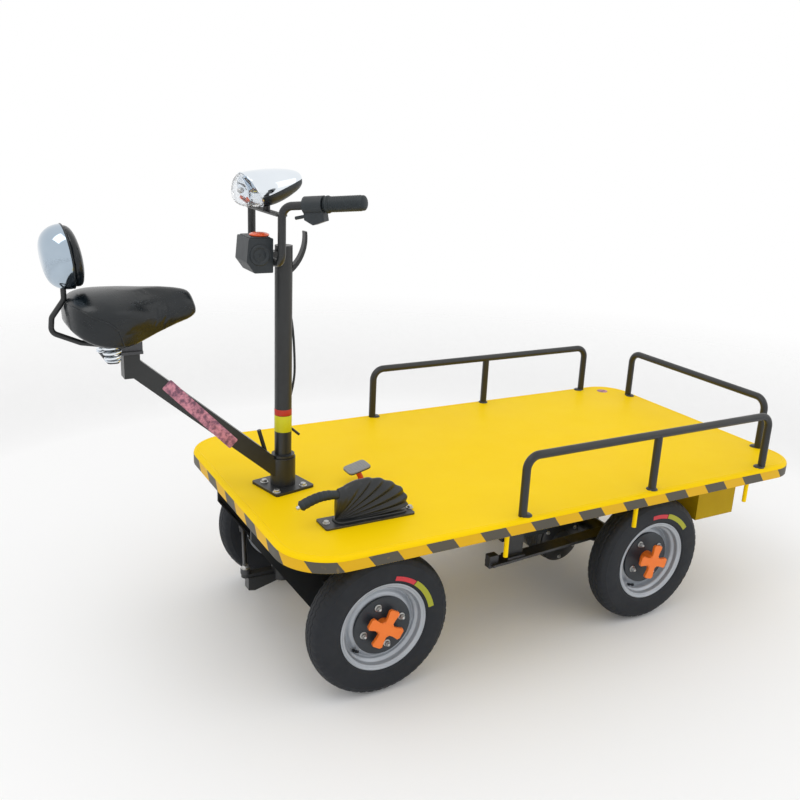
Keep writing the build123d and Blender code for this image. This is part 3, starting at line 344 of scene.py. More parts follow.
def rgb(red: float, green: float, blue: float) -> Colour:
    """Linear colour of a screen colour, by the power law 2.2 of each channel over 255."""
    return ((red / 255) ** 2.2, (green / 255) ** 2.2, (blue / 255) ** 2.2)


# Finishes


class Graph:
    """Adds nodes to one node tree and links them by socket."""

    def __init__(self, tree: bpy.types.NodeTree) -> None:
        """Starts on a tree."""
        self.tree = tree

    def feed(self, socket: Socket, value: object) -> None:
        """Links another node's socket into this one, or sets its plain value.

        Args:
            socket: The input socket.
            value: A socket, a number, a vector or a colour.
        """
        if isinstance(value, Socket):
            self.tree.links.new(value, socket)
        elif socket.type == "RGBA":
            socket.default_value = (*value[:3], 1.0)
        else:
            socket.default_value = value

    def fill(self, node: bpy.types.Node, inputs: dict) -> bpy.types.Node:
        """Feeds inputs of a node by name or number and returns the node."""
        for key, value in inputs.items():
            self.feed(node.inputs[key], value)
        return node

    def add(self, kind: str, settings: dict | None = None, inputs: dict | None = None) -> bpy.types.Node:
        """Makes a shader node.

        Args:
            kind: The node's type without the word ShaderNode.
            settings: Its properties.
            inputs: Values or sockets by input name or number.

        Returns:
            The node.
        """
        node = self.tree.nodes.new("ShaderNode" + kind)
        for key, value in (settings or {}).items():
            setattr(node, key, value)
        return self.fill(node, inputs or {})

    def maths(self, operation: str, a: object, b: object = 0.0, clamp: bool = False) -> Socket:
        """The output of a Math node."""
        return self.add("Math", {"operation": operation, "use_clamp": clamp}, {0: a, 1: b}).outputs[0]

    def blend(self, factor: object, a: object, b: object) -> Socket:
        """The output of a colour Mix node."""
        return self.add("Mix", {"data_type": "RGBA"}, {0: factor, 6: a, 7: b}).outputs[2]

    def ramp(self, value: object, low: float, high: float, to_low: float = 0.0, to_high: float = 1.0) -> Socket:
        """The output of a clamped Map Range node."""
        return self.add("MapRange", {"clamp": True}, {0: value, 1: low, 2: high, 3: to_low, 4: to_high}).outputs[0]

    def noise(self, vector: object, scale: object, detail: float = 4.0) -> Socket:
        """The value output of a Noise Texture node."""
        return self.add("TexNoise", None, {"Vector": vector, "Scale": scale, "Detail": detail}).outputs[0]


@dataclass(frozen=True)
class Effect:
    """A shared shader node group with named number inputs and outputs."""

    name: str
    inputs: tuple[tuple[str, float], ...]
    outputs: tuple[tuple[str, str], ...]

    def build(self, graph: Graph, given: dict, made: bpy.types.Node) -> None:
        """Fills the group; each effect has its own nodes."""
        raise NotImplementedError

    def node(self, graph: Graph, inputs: dict) -> bpy.types.Node:
        """Places the group in a material, building it once.

        Args:
            graph: The material's graph.
            inputs: Values or sockets by input name.

        Returns:
            The group node.
        """
        tree = bpy.data.node_groups.get(self.name)
        if tree is None:
            tree = bpy.data.node_groups.new(self.name, "ShaderNodeTree")
            sockets = [(name, "INPUT", "Float", value) for name, value in self.inputs]
            sockets += [(name, "OUTPUT", kind, None) for name, kind in self.outputs]
            for name, way, kind, value in sockets:
                socket = tree.interface.new_socket(name=name, in_out=way, socket_type="NodeSocket" + kind)
                if value is not None:
                    socket.default_value = value
            given = tree.nodes.new("NodeGroupInput").outputs
            made = tree.nodes.new("NodeGroupOutput")
            self.build(Graph(tree), {s.name: s for s in given if s.name}, made)
        return graph.add("Group", {"node_tree": tree}, inputs)


class Mottle(Effect):
    """Slow change of shade over a surface, from two noises added."""

    def build(self, graph: Graph, given: dict, made: bpy.types.Node) -> None:
        """Shade is 0.7 of a wide noise plus 0.3 of one six times finer, spread round one half by Contrast."""
        place = graph.add("TexCoord").outputs["Object"]
        wide = graph.noise(place, given["Patches"], 3.0)
        fine = graph.noise(place, graph.maths("MULTIPLY", given["Patches"], 6.0), 5.0)
        mixed = graph.maths("ADD", graph.maths("MULTIPLY", wide, 0.7), graph.maths("MULTIPLY", fine, 0.3))
        spread = graph.maths("MULTIPLY", graph.maths("SUBTRACT", mixed, 0.5), given["Contrast"])
        graph.feed(made.inputs["Shade"], graph.maths("ADD", spread, 0.5, clamp=True))


class EdgeWear(Effect):
    """Rounds the look of hard edges and masks where they would be rubbed."""

    def build(self, graph: Graph, given: dict, made: bpy.types.Node) -> None:
        """Mask is how far the bevelled normal leaves the true one, broken up by a noise."""
        bevel = graph.add("Bevel", {"samples": 4}, {"Radius": given["Radius"]}).outputs[0]
        true = graph.add("NewGeometry").outputs["True Normal"]
        dot = graph.add("VectorMath", {"operation": "DOT_PRODUCT"}, {0: bevel, 1: true}).outputs["Value"]
        bend = graph.maths("MULTIPLY", graph.maths("SUBTRACT", 1.0, dot), 6.0)
        place = graph.add("TexCoord").outputs["Object"]
        broken = graph.ramp(graph.noise(place, 70.0, 6.0), 0.45, 0.62)
        rubbed = graph.maths("MULTIPLY", graph.maths("MULTIPLY", bend, broken), given["Amount"], clamp=True)
        graph.feed(made.inputs["Mask"], rubbed)
        graph.feed(made.inputs["Normal"], bevel)


class FineGrain(Effect):
    """The small relief of paint, moulded plastic or grained vinyl."""

    def build(self, graph: Graph, given: dict, made: bpy.types.Node) -> None:
        """Height goes from a fine noise to cell edges as Cells goes from 0 to 1."""
        place = graph.add("TexCoord").outputs["Object"]
        soft = graph.noise(place, given["Scale"], 2.0)
        cells = graph.add(
            "TexVoronoi", {"feature": "SMOOTH_F1"}, {"Vector": place, "Scale": given["Scale"]},
        ).outputs[0]
        kept = graph.maths("MULTIPLY", soft, graph.maths("SUBTRACT", 1.0, given["Cells"]))
        graph.feed(made.inputs["Height"], graph.maths("ADD", kept, graph.maths("MULTIPLY", cells, given["Cells"])))


class SettledDust(Effect):
    """Dust on faces that look up."""

    def build(self, graph: Graph, given: dict, made: bpy.types.Node) -> None:
        """Mask is the upward part of the normal, times a noise, times Amount."""
        geometry = graph.add("NewGeometry").outputs["Normal"]
        up = graph.add("SeparateXYZ", None, {0: geometry}).outputs[2]
        place = graph.add("TexCoord").outputs["Object"]
        cloud = graph.ramp(graph.noise(place, 9.0, 8.0), 0.38, 0.7)
        facing = graph.ramp(up, 0.2, 1.0)
        graph.feed(
            made.inputs["Mask"], graph.maths("MULTIPLY", graph.maths("MULTIPLY", facing, cloud), given["Amount"]),
        )


MOTTLE = Mottle("cart_mottle", (("Patches", 5.0), ("Contrast", 1.0)), (("Shade", "Float"),))
EDGE_WEAR = EdgeWear(
    "cart_edge_wear", (("Radius", 0.001), ("Amount", 0.5)), (("Mask", "Float"), ("Normal", "Vector")),
)
FINE_GRAIN = FineGrain("cart_fine_grain", (("Scale", 900.0), ("Cells", 0.0)), (("Height", "Float"),))
SETTLED_DUST = SettledDust("cart_settled_dust", (("Amount", 0.1),), (("Mask", "Float"),))


def fresh(name: str) -> tuple[bpy.types.Material, Graph, bpy.types.Node]:
    """A new node material of a name, with its graph and its Principled node."""
    made = bpy.data.materials.new(name)
    made.use_nodes = True
    return made, Graph(made.node_tree), made.node_tree.nodes["Principled BSDF"]


@dataclass(frozen=True)
class Finish:
    """One surface finish and the material made from it."""

    name: str
    slot: str
    colour: Colour
    shade: Colour
    roughness: float
    metallic: float = 0.0
    coat: float = 0.0
    specular: float = 0.5
    patches: float = 5.0
    contrast: float = 1.6
    grain: float = 900.0
    cells: float = 0.0
    relief: float = 0.02
    edge: float = 0.0012
    wear: float = 0.0
    worn: Colour = (0.3, 0.3, 0.3)
    dust: float = 0.06
    dust_colour: Colour = (0.42, 0.38, 0.32)

    def base_colour(self, graph: Graph) -> Socket:
        """The colour before dust and wear: the two shades mixed by the slow mottle."""
        mottle = MOTTLE.node(graph, {"Patches": self.patches, "Contrast": self.contrast})
        return graph.blend(mottle.outputs["Shade"], self.colour, self.shade)

    def material(self) -> bpy.types.Material:
        """The material, made once and shared by all pieces of this finish."""
        return bpy.data.materials.get(self.name) or self.mixed()

    def mixed(self) -> bpy.types.Material:
        """Makes the material: mottled colour under dust and wear, mottled roughness and a fine relief."""
        made, graph, shader = fresh(self.name)
        wear = EDGE_WEAR.node(graph, {"Radius": self.edge, "Amount": self.wear}).outputs
        dusty = SETTLED_DUST.node(graph, {"Amount": self.dust}).outputs["Mask"]
        colour = graph.blend(dusty, self.base_colour(graph), self.dust_colour)
        shade = MOTTLE.node(graph, {"Patches": self.patches * 3, "Contrast": 1.5}).outputs["Shade"]
        rough = graph.ramp(shade, 0.0, 1.0, self.roughness * 0.85, min(1.0, self.roughness * 1.18))
        grain = FINE_GRAIN.node(graph, {"Scale": self.grain, "Cells": self.cells}).outputs["Height"]
        relief = {"Strength": 0.6, "Distance": self.relief / 1000, "Height": grain, "Normal": wear["Normal"]}
        looks = {
            "Base Color": graph.blend(wear["Mask"], colour, self.worn),
            "Roughness": graph.maths("ADD", rough, graph.maths("MULTIPLY", dusty, 0.5), clamp=True),
            "Normal": graph.add("Bump", None, relief).outputs[0],
            "Metallic": self.metallic,
            "Coat Weight": self.coat,
            "Coat Roughness": COAT_ROUGHNESS,
            "Specular IOR Level": self.specular,
        }
        graph.fill(shader, looks)
        return made


@dataclass(frozen=True)
class StripedPaint(Finish):
    """Yellow paint with slanted dark bands along the piece's own UV map, whose U is metres round the platform."""

    band: Colour = (0.09, 0.08, 0.06)
    pitch: float = 0.17244
    first: float = -0.6735
    slant: float = 0.74
    top: float = 0.496

    def base_colour(self, graph: Graph) -> Socket:
        """Dark where the slanted run along the skirt, counted in pitches, has a fraction under one half."""
        run = graph.add("SeparateXYZ", None, {0: graph.add("UVMap").outputs[0]})
        fall = graph.maths("SUBTRACT", self.top, run.outputs[1])
        along = graph.maths("SUBTRACT", run.outputs[0], graph.maths("MULTIPLY", fall, self.slant))
        place = graph.add("TexCoord").outputs["Object"]
        ragged = graph.maths("MULTIPLY", graph.maths("SUBTRACT", graph.noise(place, 160.0, 5.0), 0.5), 0.003)
        count = graph.maths(
            "DIVIDE", graph.maths("ADD", graph.maths("SUBTRACT", along, self.first), ragged), self.pitch,
        )
        part = graph.maths("FRACT", graph.maths("ADD", count, 40.0))
        inside = graph.ramp(part, 0.498, 0.506, 1.0, 0.0)
        inside = graph.maths("MULTIPLY", inside, graph.ramp(part, 0.0, 0.008))
        rubbed = graph.ramp(graph.noise(place, 42.0, 9.0), 0.64, 0.74, 1.0, 0.8)
        yellow = super().base_colour(graph)
        return graph.blend(graph.maths("MULTIPLY", inside, rubbed), yellow, self.band)


@dataclass(frozen=True)
class ClearLens(Finish):
    """Clear moulded plastic of the headlight."""

    def mixed(self) -> bpy.types.Material:
        """Makes a transmitting shader with fine upright flutes."""
        made, graph, shader = fresh(self.name)
        place = graph.add("TexCoord").outputs["Object"]
        flutes = graph.add("TexWave", {"bands_direction": "Y"}, {"Vector": place, "Scale": 36.0}).outputs[1]
        bump = graph.add("Bump", None, {"Strength": 0.35, "Distance": 0.0004, "Height": flutes})
        shade = MOTTLE.node(graph, {"Patches": 20.0, "Contrast": 1.0}).outputs["Shade"]
        looks = {
            "Base Color": graph.blend(shade, self.colour, self.shade),
            "Roughness": graph.ramp(shade, 0.0, 1.0, 0.02, 0.08),
            "Normal": bump.outputs[0],
            "Transmission Weight": 0.95,
            "IOR": 1.2,
        }
        graph.fill(shader, looks)
        return made


YELLOW = Finish(
    "deck_yellow_paint", "deck_yellow", rgb(250, 211, 2), rgb(244, 200, 1), 0.5, specular=0.08, patches=1.6,
    relief=0.012, grain=260, worn=rgb(214, 172, 40), wear=0.3, dust=0.01, dust_colour=rgb(206, 178, 96),
)
SKIRT = StripedPaint(
    "skirt_striped_paint", "deck_yellow", rgb(228, 178, 8), rgb(216, 165, 8), 0.5, specular=0.3, patches=3.0,
    relief=0.012, grain=260, dust=0.0,
)
BOX_YELLOW = Finish(
    "box_yellow_paint", "box_yellow", rgb(188, 156, 4), rgb(166, 136, 5), 0.5, specular=0.12, patches=3.0, wear=0.3,
    worn=rgb(120, 100, 40),
)
BLACK = Finish(
    "frame_black_paint", "frame_black", rgb(43, 45, 46), rgb(32, 33, 34), 0.34, patches=7.0, relief=0.03, grain=420,
    wear=0.3, worn=rgb(96, 96, 96), dust=0.05,
)
STEEL = Finish(
    "dark_bare_steel", "dark_steel", rgb(92, 93, 95), rgb(64, 64, 66), 0.42, metallic=0.85, patches=12.0,
    relief=0.03, wear=0.5, worn=rgb(150, 150, 150),
)
BRIGHT_STEEL = Finish(
    "bright_plated_steel", "dark_steel", rgb(206, 206, 204), rgb(176, 176, 174), 0.28, metallic=0.9, patches=20.0,
    relief=0.01, dust=0.02,
)
PLASTIC = Finish(
    "black_moulded_plastic", "black_plastic", rgb(40, 47, 52), rgb(30, 36, 40), 0.45, patches=9.0, relief=0.05,
    grain=1400, edge=0.002, wear=0.2, worn=rgb(70, 76, 80),
)
BOOT = Finish(
    "soft_black_vinyl", "soft_black", rgb(35, 38, 40), rgb(25, 28, 30), 0.32, patches=14.0, grain=1600, cells=0.6,
    relief=0.06, edge=0.0005, wear=0.0, dust=0.05,
)
PAD_RUBBER = Finish(
    "grey_pad_rubber", "grey_rubber", rgb(150, 150, 150), rgb(128, 128, 128), 0.6, relief=0.05, wear=0.2,
    worn=rgb(180, 180, 180),
)
# One chrome plating in two copies: this lighter copy serves the headlight and springs, and the backrest's copy below is
# painted darker and bluer, as painted shade and painted reflection.
CHROME = Finish(
    "bright_chrome_plate", "bright_chrome", rgb(238, 243, 248), rgb(224, 231, 238), 0.08, metallic=1.0, relief=0.0,
    patches=6.0, edge=0.0008, dust=0.02,
)
SHADED_SHELL_CHROME = Finish(
    "backrest_chrome_painted_shade", "bright_chrome", rgb(184, 197, 209), rgb(166, 181, 195), 0.07, metallic=1.0,
    relief=0.0, patches=6.0, edge=0.0008, dust=0.02,
)
LENS = ClearLens("clear_moulded_lens", "clear_lens", (0.97, 0.98, 0.99), (0.94, 0.96, 0.98), 0.04)
ORANGE = Finish(
    "orange_gloss_plastic", "orange_plastic", rgb(232, 92, 38), rgb(218, 78, 30), 0.25, coat=0.4, relief=0.0,
    patches=18.0,
)
STEM_RED = Finish(
    "orange_red_stem_paint", "orange_plastic", rgb(214, 82, 48), rgb(196, 66, 38), 0.45, wear=0.4,
    worn=rgb(120, 60, 45),
)
GRIP = Finish(
    "ribbed_grip_rubber", "grip_rubber", rgb(24, 36, 41), rgb(18, 28, 32), 0.5, relief=0.04, grain=1500, cells=0.4,
)
VINYL = Finish(
    "saddle_grained_vinyl", "saddle_vinyl", rgb(24, 31, 35), rgb(17, 22, 26), 0.26, specular=0.45, patches=7.0,
    grain=1300, cells=0.75, relief=0.07, edge=0.0005, dust=0.05,
)
RUBBER = Finish(
    "tyre_dark_rubber", "tyre_rubber", rgb(36, 39, 44), rgb(27, 30, 35), 0.6, specular=0.35, patches=9.0,
    relief=0.05, grain=1100, edge=0.0006, dust=0.05, dust_colour=rgb(112, 108, 100),
)
SILVER = Finish(
    "rim_silver_paint", "rim_silver", rgb(178, 183, 189), rgb(156, 161, 168), 0.34, metallic=0.45, patches=10.0,
    relief=0.02, edge=0.0008, dust=0.05,
)
HUB_DARK = Finish(
    "hub_dark_paint", "hub_dark", rgb(46, 52, 58), rgb(36, 41, 47), 0.42, patches=14.0, relief=0.04, wear=0.3,
    worn=rgb(90, 92, 94),
)
CAP_ORANGE = Finish(
    "cap_orange_paint", "cap_orange", rgb(244, 126, 42), rgb(236, 112, 32), 0.42, patches=16.0, relief=0.02,
    edge=0.003, wear=0.25, worn=rgb(196, 110, 60), dust=0.02,
)
RED_LABEL = Finish(
    "blank_red_label", "cap_orange", rgb(214, 58, 66), rgb(190, 44, 56), 0.5, patches=40.0, edge=0.0003, relief=0.0,
)
LIME_LABEL = Finish(
    "blank_yellow_green_label", "deck_yellow", rgb(172, 168, 34), rgb(150, 158, 40), 0.5, patches=40.0, edge=0.0003,
    relief=0.0,
)
BAND_RED = Finish(
    "column_red_band", "cap_orange", rgb(190, 48, 20), rgb(170, 36, 18), 0.5, patches=30.0, edge=0.0002, relief=0.0,
)
BAND_YELLOW = Finish(
    "column_yellow_band", "deck_yellow", rgb(206, 202, 8), rgb(196, 190, 10), 0.5, patches=30.0, edge=0.0002,
    relief=0.0,
)
PINK_LABEL = Finish(
    "blank_pink_grey_label", "grey_rubber", rgb(206, 136, 152), rgb(110, 72, 92), 0.5, patches=80.0, contrast=5.0,
    edge=0.0002, relief=0.0,
)


# Putting pieces into the scene


def shown(name: str, data: bpy.types.ID) -> Object:
    """Makes an object of its data and links it to the scene."""
    obj = bpy.data.objects.new(name, data)
    bpy.context.scene.collection.objects.link(obj)
    return obj


def piece(
    name: str, patch: Patch, finish: Finish, body: str, stands_for: tuple = (), skin: Skin = Skin.CREASED,
) -> Object:
    """Makes one dressed object of a patch and ties it to a body.

    Args:
        name: The object's name.
        patch: Its closed faces, in place.
        finish: Its finish.
        body: The frame's body that carries it.
        stands_for: Nodes of the frame that it replaces.
        skin: How its edges are shaded.

    Returns:
        The object.
    """
    patch = patch.outward()
    faces = len(patch.quads) + len(patch.tris)
    loops = np.concatenate([patch.quads.ravel(), patch.tris.ravel()]).astype(np.int32)
    sizes = np.concatenate([np.full(len(patch.quads), 4), np.full(len(patch.tris), 3)]).astype(np.int32)
    mesh = bpy.data.meshes.new(name)
    mesh.vertices.add(len(patch.points))
    mesh.vertices.foreach_set("co", patch.points.astype(np.float32).ravel())
    mesh.loops.add(len(loops))
    mesh.loops.foreach_set("vertex_index", loops)
    mesh.polygons.add(faces)
    mesh.polygons.foreach_set("loop_start", np.concatenate([[0], np.cumsum(sizes)[:-1]]).astype(np.int32))
    mesh.polygons.foreach_set("loop_total", sizes)
    mesh.polygons.foreach_set("use_smooth", np.ones(faces, bool))
    mesh.update(calc_edges=True)
    if skin is not Skin.SMOOTH:
        mesh.set_sharp_from_angle(angle=math.radians(skin.value))
    mesh.materials.append(finish.material())
    obj = shown(name, mesh)
    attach(obj, body)
    if stands_for:
        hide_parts(*stands_for)
    LOG.info("piece %s: %d faces on %s", name, faces, body)
    return obj


def dress(finish: Finish, *nodes: str) -> None:
    """Gives nodes of the frame their finish.

    Args:
        finish: The finish.
        nodes: Node names.
    """
    for node in nodes:
        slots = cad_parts[node].data.materials
        slots.clear()
        slots.append(finish.material())
        LOG.info("node %s in %s", node, finish.name)


def puffed(obj: Object, voxel: float, reach: float, held_below: float | None = None) -> None:
    """Swells a padded piece with a short cloth simulation and keeps the result in its mesh.

    The shell is remeshed in even cells and inflated with no gravity, and each point's movement is cut to
    the reach. One subdivision follows.

    Args:
        obj: The padded piece.
        voxel: Cell size of the remesh.
        reach: Most that a point may move.
        held_below: Points under this height stay where they are.
    """
    remesh = obj.modifiers.new("cells", "REMESH")
    remesh.mode = "VOXEL"
    remesh.voxel_size = voxel
    remesh.use_smooth_shade = True
    view = bpy.context.evaluated_depsgraph_get()
    even = bpy.data.meshes.new_from_object(obj.evaluated_get(view))
    obj.modifiers.clear()
    even.materials.clear()
    even.materials.append(obj.data.materials[0])
    obj.data = even
    rest = np.empty(len(even.vertices) * 3, np.float32)
    even.vertices.foreach_get("co", rest)
    rest = rest.reshape(-1, 3)
    cloth = obj.modifiers.new("stuffing", "CLOTH")
    settings = cloth.settings
    settings.use_pressure = True
    settings.uniform_pressure_force = PUFF_PRESSURE
    settings.effector_weights.gravity = 0.0
    settings.quality = 5
    if held_below is not None:
        held = obj.vertex_groups.new(name="held")
        held.add(np.flatnonzero(rest[:, 2] < held_below).tolist(), 1.0, "REPLACE")
        settings.vertex_group_mass = "held"
    for number in range(1, PUFF_FRAMES + 1):
        bpy.context.scene.frame_set(number)
    view = bpy.context.evaluated_depsgraph_get()
    now = np.empty_like(rest).ravel()
    obj.evaluated_get(view).data.vertices.foreach_get("co", now)
    move = now.reshape(-1, 3) - rest
    size = np.linalg.norm(move, axis=1, keepdims=True)
    move *= np.minimum(1.0, reach / np.maximum(size, 1e-9))
    obj.modifiers.clear()
    obj.vertex_groups.clear()
    even.vertices.foreach_set("co", (rest + move).ravel())
    even.polygons.foreach_set("use_smooth", np.ones(len(even.polygons), bool))
    even.update()
    bpy.context.scene.frame_set(1)
    finer = obj.modifiers.new("finer", "SUBSURF")
    finer.levels = 1
    finer.render_levels = 1


def laid_on(obj: Object, path: Array, lift: float) -> Array:
    """Moves path points onto the nearest place of an object's surface, raised by a lift.

    Args:
        obj: The object.
        path: Points of shape (n, 3).
        lift: Distance from the surface.

    Returns:
        The moved points.
    """
    tree = BVHTree.FromObject(obj, bpy.context.evaluated_depsgraph_get())
    found = [tree.find_nearest(Vector(p)) for p in path]
    return np.array([np.array(place) + lift * np.array(normal) for place, normal, _, _ in found])


# The sub-assemblies


@dataclass(frozen=True)
class Studio:
    """The camera, a pale floor and plain soft light."""

    eye: Place = (-1.47305, -2.35585, 1.58271)
    azimuth: float = 29.90
    elevation: float = 17.73
    roll: float = 2.73
    lens: float = 40.66
    sensor: float = 36.0
    shift: tuple[float, float] = (-0.00936, 0.0052)
    light: float = 0.96
    lamps: tuple = (("key_lamp", (-2.2, -0.6, 4.4), 2.2, 26.0), ("fill_lamp", (2.8, -2.6, 2.6), 2.6, 8.0))
    aim: Place = (0, 0, 0.5)
    pale: Colour = (0.93, 0.93, 0.93)

    def build(self) -> None:
        """Sets up the camera, the world, the lamps and the floor."""
        self.camera()
        self.world()
        for lamp in self.lamps:
            self.lamp(*lamp)
        self.floor()
        bpy.context.scene.view_settings.view_transform = "Standard"

    def camera(self) -> None:
        """Aims the camera: its right and up are turned by the roll round the view direction."""
        az, el, roll = (math.radians(a) for a in (self.azimuth, self.elevation, self.roll))
        ahead = Vector((math.sin(az) * math.cos(el), math.cos(az) * math.cos(el), -math.sin(el)))
        right = Vector((math.cos(az), -math.sin(az), 0))
        up = right.cross(ahead)
        axes = (math.cos(roll) * right + math.sin(roll) * up, math.cos(roll) * up - math.sin(roll) * right, -ahead)
        place = Matrix(axes).transposed().to_4x4()
        place.translation = Vector(self.eye)
        data = bpy.data.cameras.new("camera")
        data.lens = self.lens
        data.sensor_width = self.sensor
        data.shift_x, data.shift_y = self.shift
        camera = shown("camera", data)
        camera.matrix_world = place
        bpy.context.scene.camera = camera

    def world(self) -> None:
        """A white background for the eye and for gloss, and a plain soft light for the rest."""
        world = bpy.data.worlds.new("studio")
        world.use_nodes = True
        bpy.context.scene.world = world
        graph = Graph(world.node_tree)
        rays = graph.add("LightPath").outputs
        bounced = graph.maths("MAXIMUM", rays["Is Glossy Ray"], rays["Is Transmission Ray"])
        seen = graph.maths("MAXIMUM", rays["Is Camera Ray"], bounced)
        strength = graph.ramp(seen, 0.0, 1.0, self.light, 1.0)
        graph.fill(world.node_tree.nodes["Background"], {"Color": (1, 1, 1), "Strength": strength})

    def lamp(self, name: str, place: Place, size: float, power: float) -> None:
        """A square area lamp that looks at the middle of the cart.

        Args:
            name: The lamp's name.
            place: Where it stands.
            size: Its side.
            power: Its power in watts.
        """
        data = bpy.data.lights.new(name, "AREA")
        data.size = size
        data.energy = power
        obj = shown(name, data)
        obj.location = place
        obj.rotation_euler = (Vector(place) - Vector(self.aim)).to_track_quat("Z", "Y").to_euler()

    def floor(self) -> None:
        """A wide pale disc that keeps the cart's shadow and fades into the white background."""
        disc = turned([(9.0, -0.02), (9.0, -0.0005)], 96)
        mesh = bpy.data.meshes.new("floor")
        mesh.from_pydata(disc.points.tolist(), [], disc.quads.tolist() + disc.tris.tolist())
        made, graph, shader = fresh("pale_floor")
        graph.fill(shader, {"Base Color": self.pale, "Roughness": 0.9, "Specular IOR Level": 0.1})
        place = graph.add("TexCoord").outputs["Object"]
        away = graph.add("VectorMath", {"operation": "LENGTH"}, {0: place}).outputs["Value"]
        clear = graph.add("BsdfTransparent").outputs[0]
        fade = graph.add("MixShader", None, {0: graph.ramp(away, 2.2, 5.5), 1: shader.outputs[0], 2: clear})
        graph.fill(made.node_tree.nodes["Material Output"], {"Surface": fade.outputs[0]})
        mesh.materials.append(made)
        obj = shown("floor", mesh)


@dataclass(frozen=True)
class Platform:
    """The deck's paint, its striped skirt, the edge bead, the rails' weld rings and a small round pink disc."""

    front: float = -0.700
    rear: float = 1.175
    half: float = 0.500
    top: float = 0.507
    fold: float = 0.011
    skirt: float = 0.042
    front_corner: float = 0.150
    rear_corner: float = 0.120
    rail_r: float = 0.0125
    rail_line: float = 0.475
    rail_feet: tuple[float, ...] = (0.0175, 0.501, 0.9845)
    rear_rail_x: float = 1.139
    rear_rail_y: float = 0.3255

    def outline(self, inset: float, arc: int = 24) -> tuple[Array, Array]:
        """The plan outline moved in by an inset: straight runs between quarter circles about the corners' centres.

        Args:
            inset: Distance inwards.
            arc: Points of each corner.

        Returns:
            Points (k, 2) counterclockwise from the near side's front, and each point's run along the outer outline.
        """
        ends = ((self.rear, -1, self.rear_corner), (self.front, 1, self.front_corner))
        corners = [(x + s * r, side * s * (self.half - r), r) for x, s, r in ends for side in (1, -1)]
        x, y, r = np.array(corners).T[..., None]
        first = 90 * np.arange(-1, 3)[:, None]
        turn = np.radians(first + np.linspace(0, 90, arc)[None])
        outer, points = (merged(x + s * np.cos(turn), y + s * np.sin(turn)).reshape(-1, 2) for s in (r, r - inset))
        steps = np.linalg.norm(np.diff(outer, axis=0), axis=1)
        run = outer[0, 0] + np.concatenate([[0], np.cumsum(steps)])
        return points, run

    def ring(self, section: list) -> Patch:
        """A closed section of (inset, height) carried round the outline."""
        return stack(np.stack([merged(*self.outline(i)[0].T, z) for i, z in section], axis=1), closed=True)

    def build(self) -> None:
        """Dresses the platform and adds its small parts."""
        dress(YELLOW, "deck")
        dress(BOX_YELLOW, "battery_box")
        dress(PLASTIC, "controller_box")
        dress(BLACK, "under_frame", "guard_rail_near", "guard_rail_far", "guard_rail_rear")
        self.striped_skirt()
        self.edge_bead()
        self.rail_feet_welds()
        self.end_disc()

    def striped_skirt(self) -> None:
        """The painted band round the skirt, its UV map in metres: U runs round the platform and V is the height."""
        high, low = self.top - self.fold, self.top - self.skirt + PAINT
        section = [(-PAINT, low), (-PAINT, (low + high) / 2), (-PAINT, high), (2 * PAINT, high), (2 * PAINT, low)]
        band = self.ring(section)
        obj = piece("skirt_stripes", band, SKIRT, "chassis", skin=Skin.CRISP)
        mesh = obj.data
        _, run = self.outline(0.0)
        square = 2 * (self.rear - self.front + 2 * self.half)
        whole = run[0] + square - (8 - 2 * math.pi) * (self.front_corner + self.rear_corner) / 2
        corner = np.empty(len(mesh.loops), np.int32)
        mesh.loops.foreach_get("vertex_index", corner)
        rings = (corner // len(section)).reshape(-1, 4)
        u = run[rings]
        across_seam = (rings.max(axis=1, keepdims=True) == len(run) - 1) & (rings == 0)
        u = np.where(across_seam, whole, u).ravel()
        heights = band.points[corner, 2]
        layer = mesh.uv_layers.new(name="UVMap")
        layer.data.foreach_set("uv", merged(u, heights).astype(np.float32).ravel())

    def edge_bead(self) -> None:
        """A shallow half-round bead pressed along the deck's edge, its height a cosine of the distance across."""
        across = np.linspace(-1, 1, 9)
        crest = 0.0011 * (0.5 + 0.5 * np.cos(np.pi * across))
        middle, half, root = 0.016, 0.0035, self.top - 0.0008
        section = [(middle + half * a, self.top + c - 0.0001) for a, c in zip(across, crest)]
        section += [(middle + half, root), (middle - half, root)]
        piece("deck_edge_bead", self.ring(section), YELLOW, "chassis", skin=Skin.SMOOTH)

    def rail_feet_welds(self) -> None:
        """A rough weld fillet round each rail foot, its radius rippled round the post."""
        turn = np.linspace(0, 2 * np.pi, 48, endpoint=False)
        ripple = 1 + 0.09 * np.cos(17 * turn) + 0.05 * np.sin(31 * turn)
        levels = np.array([(0.0055, 0.0), (0.0045, 0.0022), (0.0018, 0.0048), (0.0003, 0.0056)])
        radius = self.rail_r + levels[:, :1] * ripple
        weld = stack(polar(radius, turn, levels[:, 1:]))
        feet = [(x, side.value * self.rail_line, self.top) for side in Side for x in self.rail_feet]
        feet += [(self.rear_rail_x, y, self.top) for y in (-self.rear_rail_y, self.rear_rail_y)]
        piece("rail_foot_welds", scattered(weld, feet), BLACK, "chassis")

    def end_disc(self) -> None:
        """A small pink-grey disc lying on the deck at its far rear corner."""
        label = turned([(0.022, 0.0), (0.0222, 0.0003), (0.0215, 0.0005)], 40)
        piece("deck_round_pink_disc", label.placed((1.072, 0.422, self.top)), PINK_LABEL, "chassis")


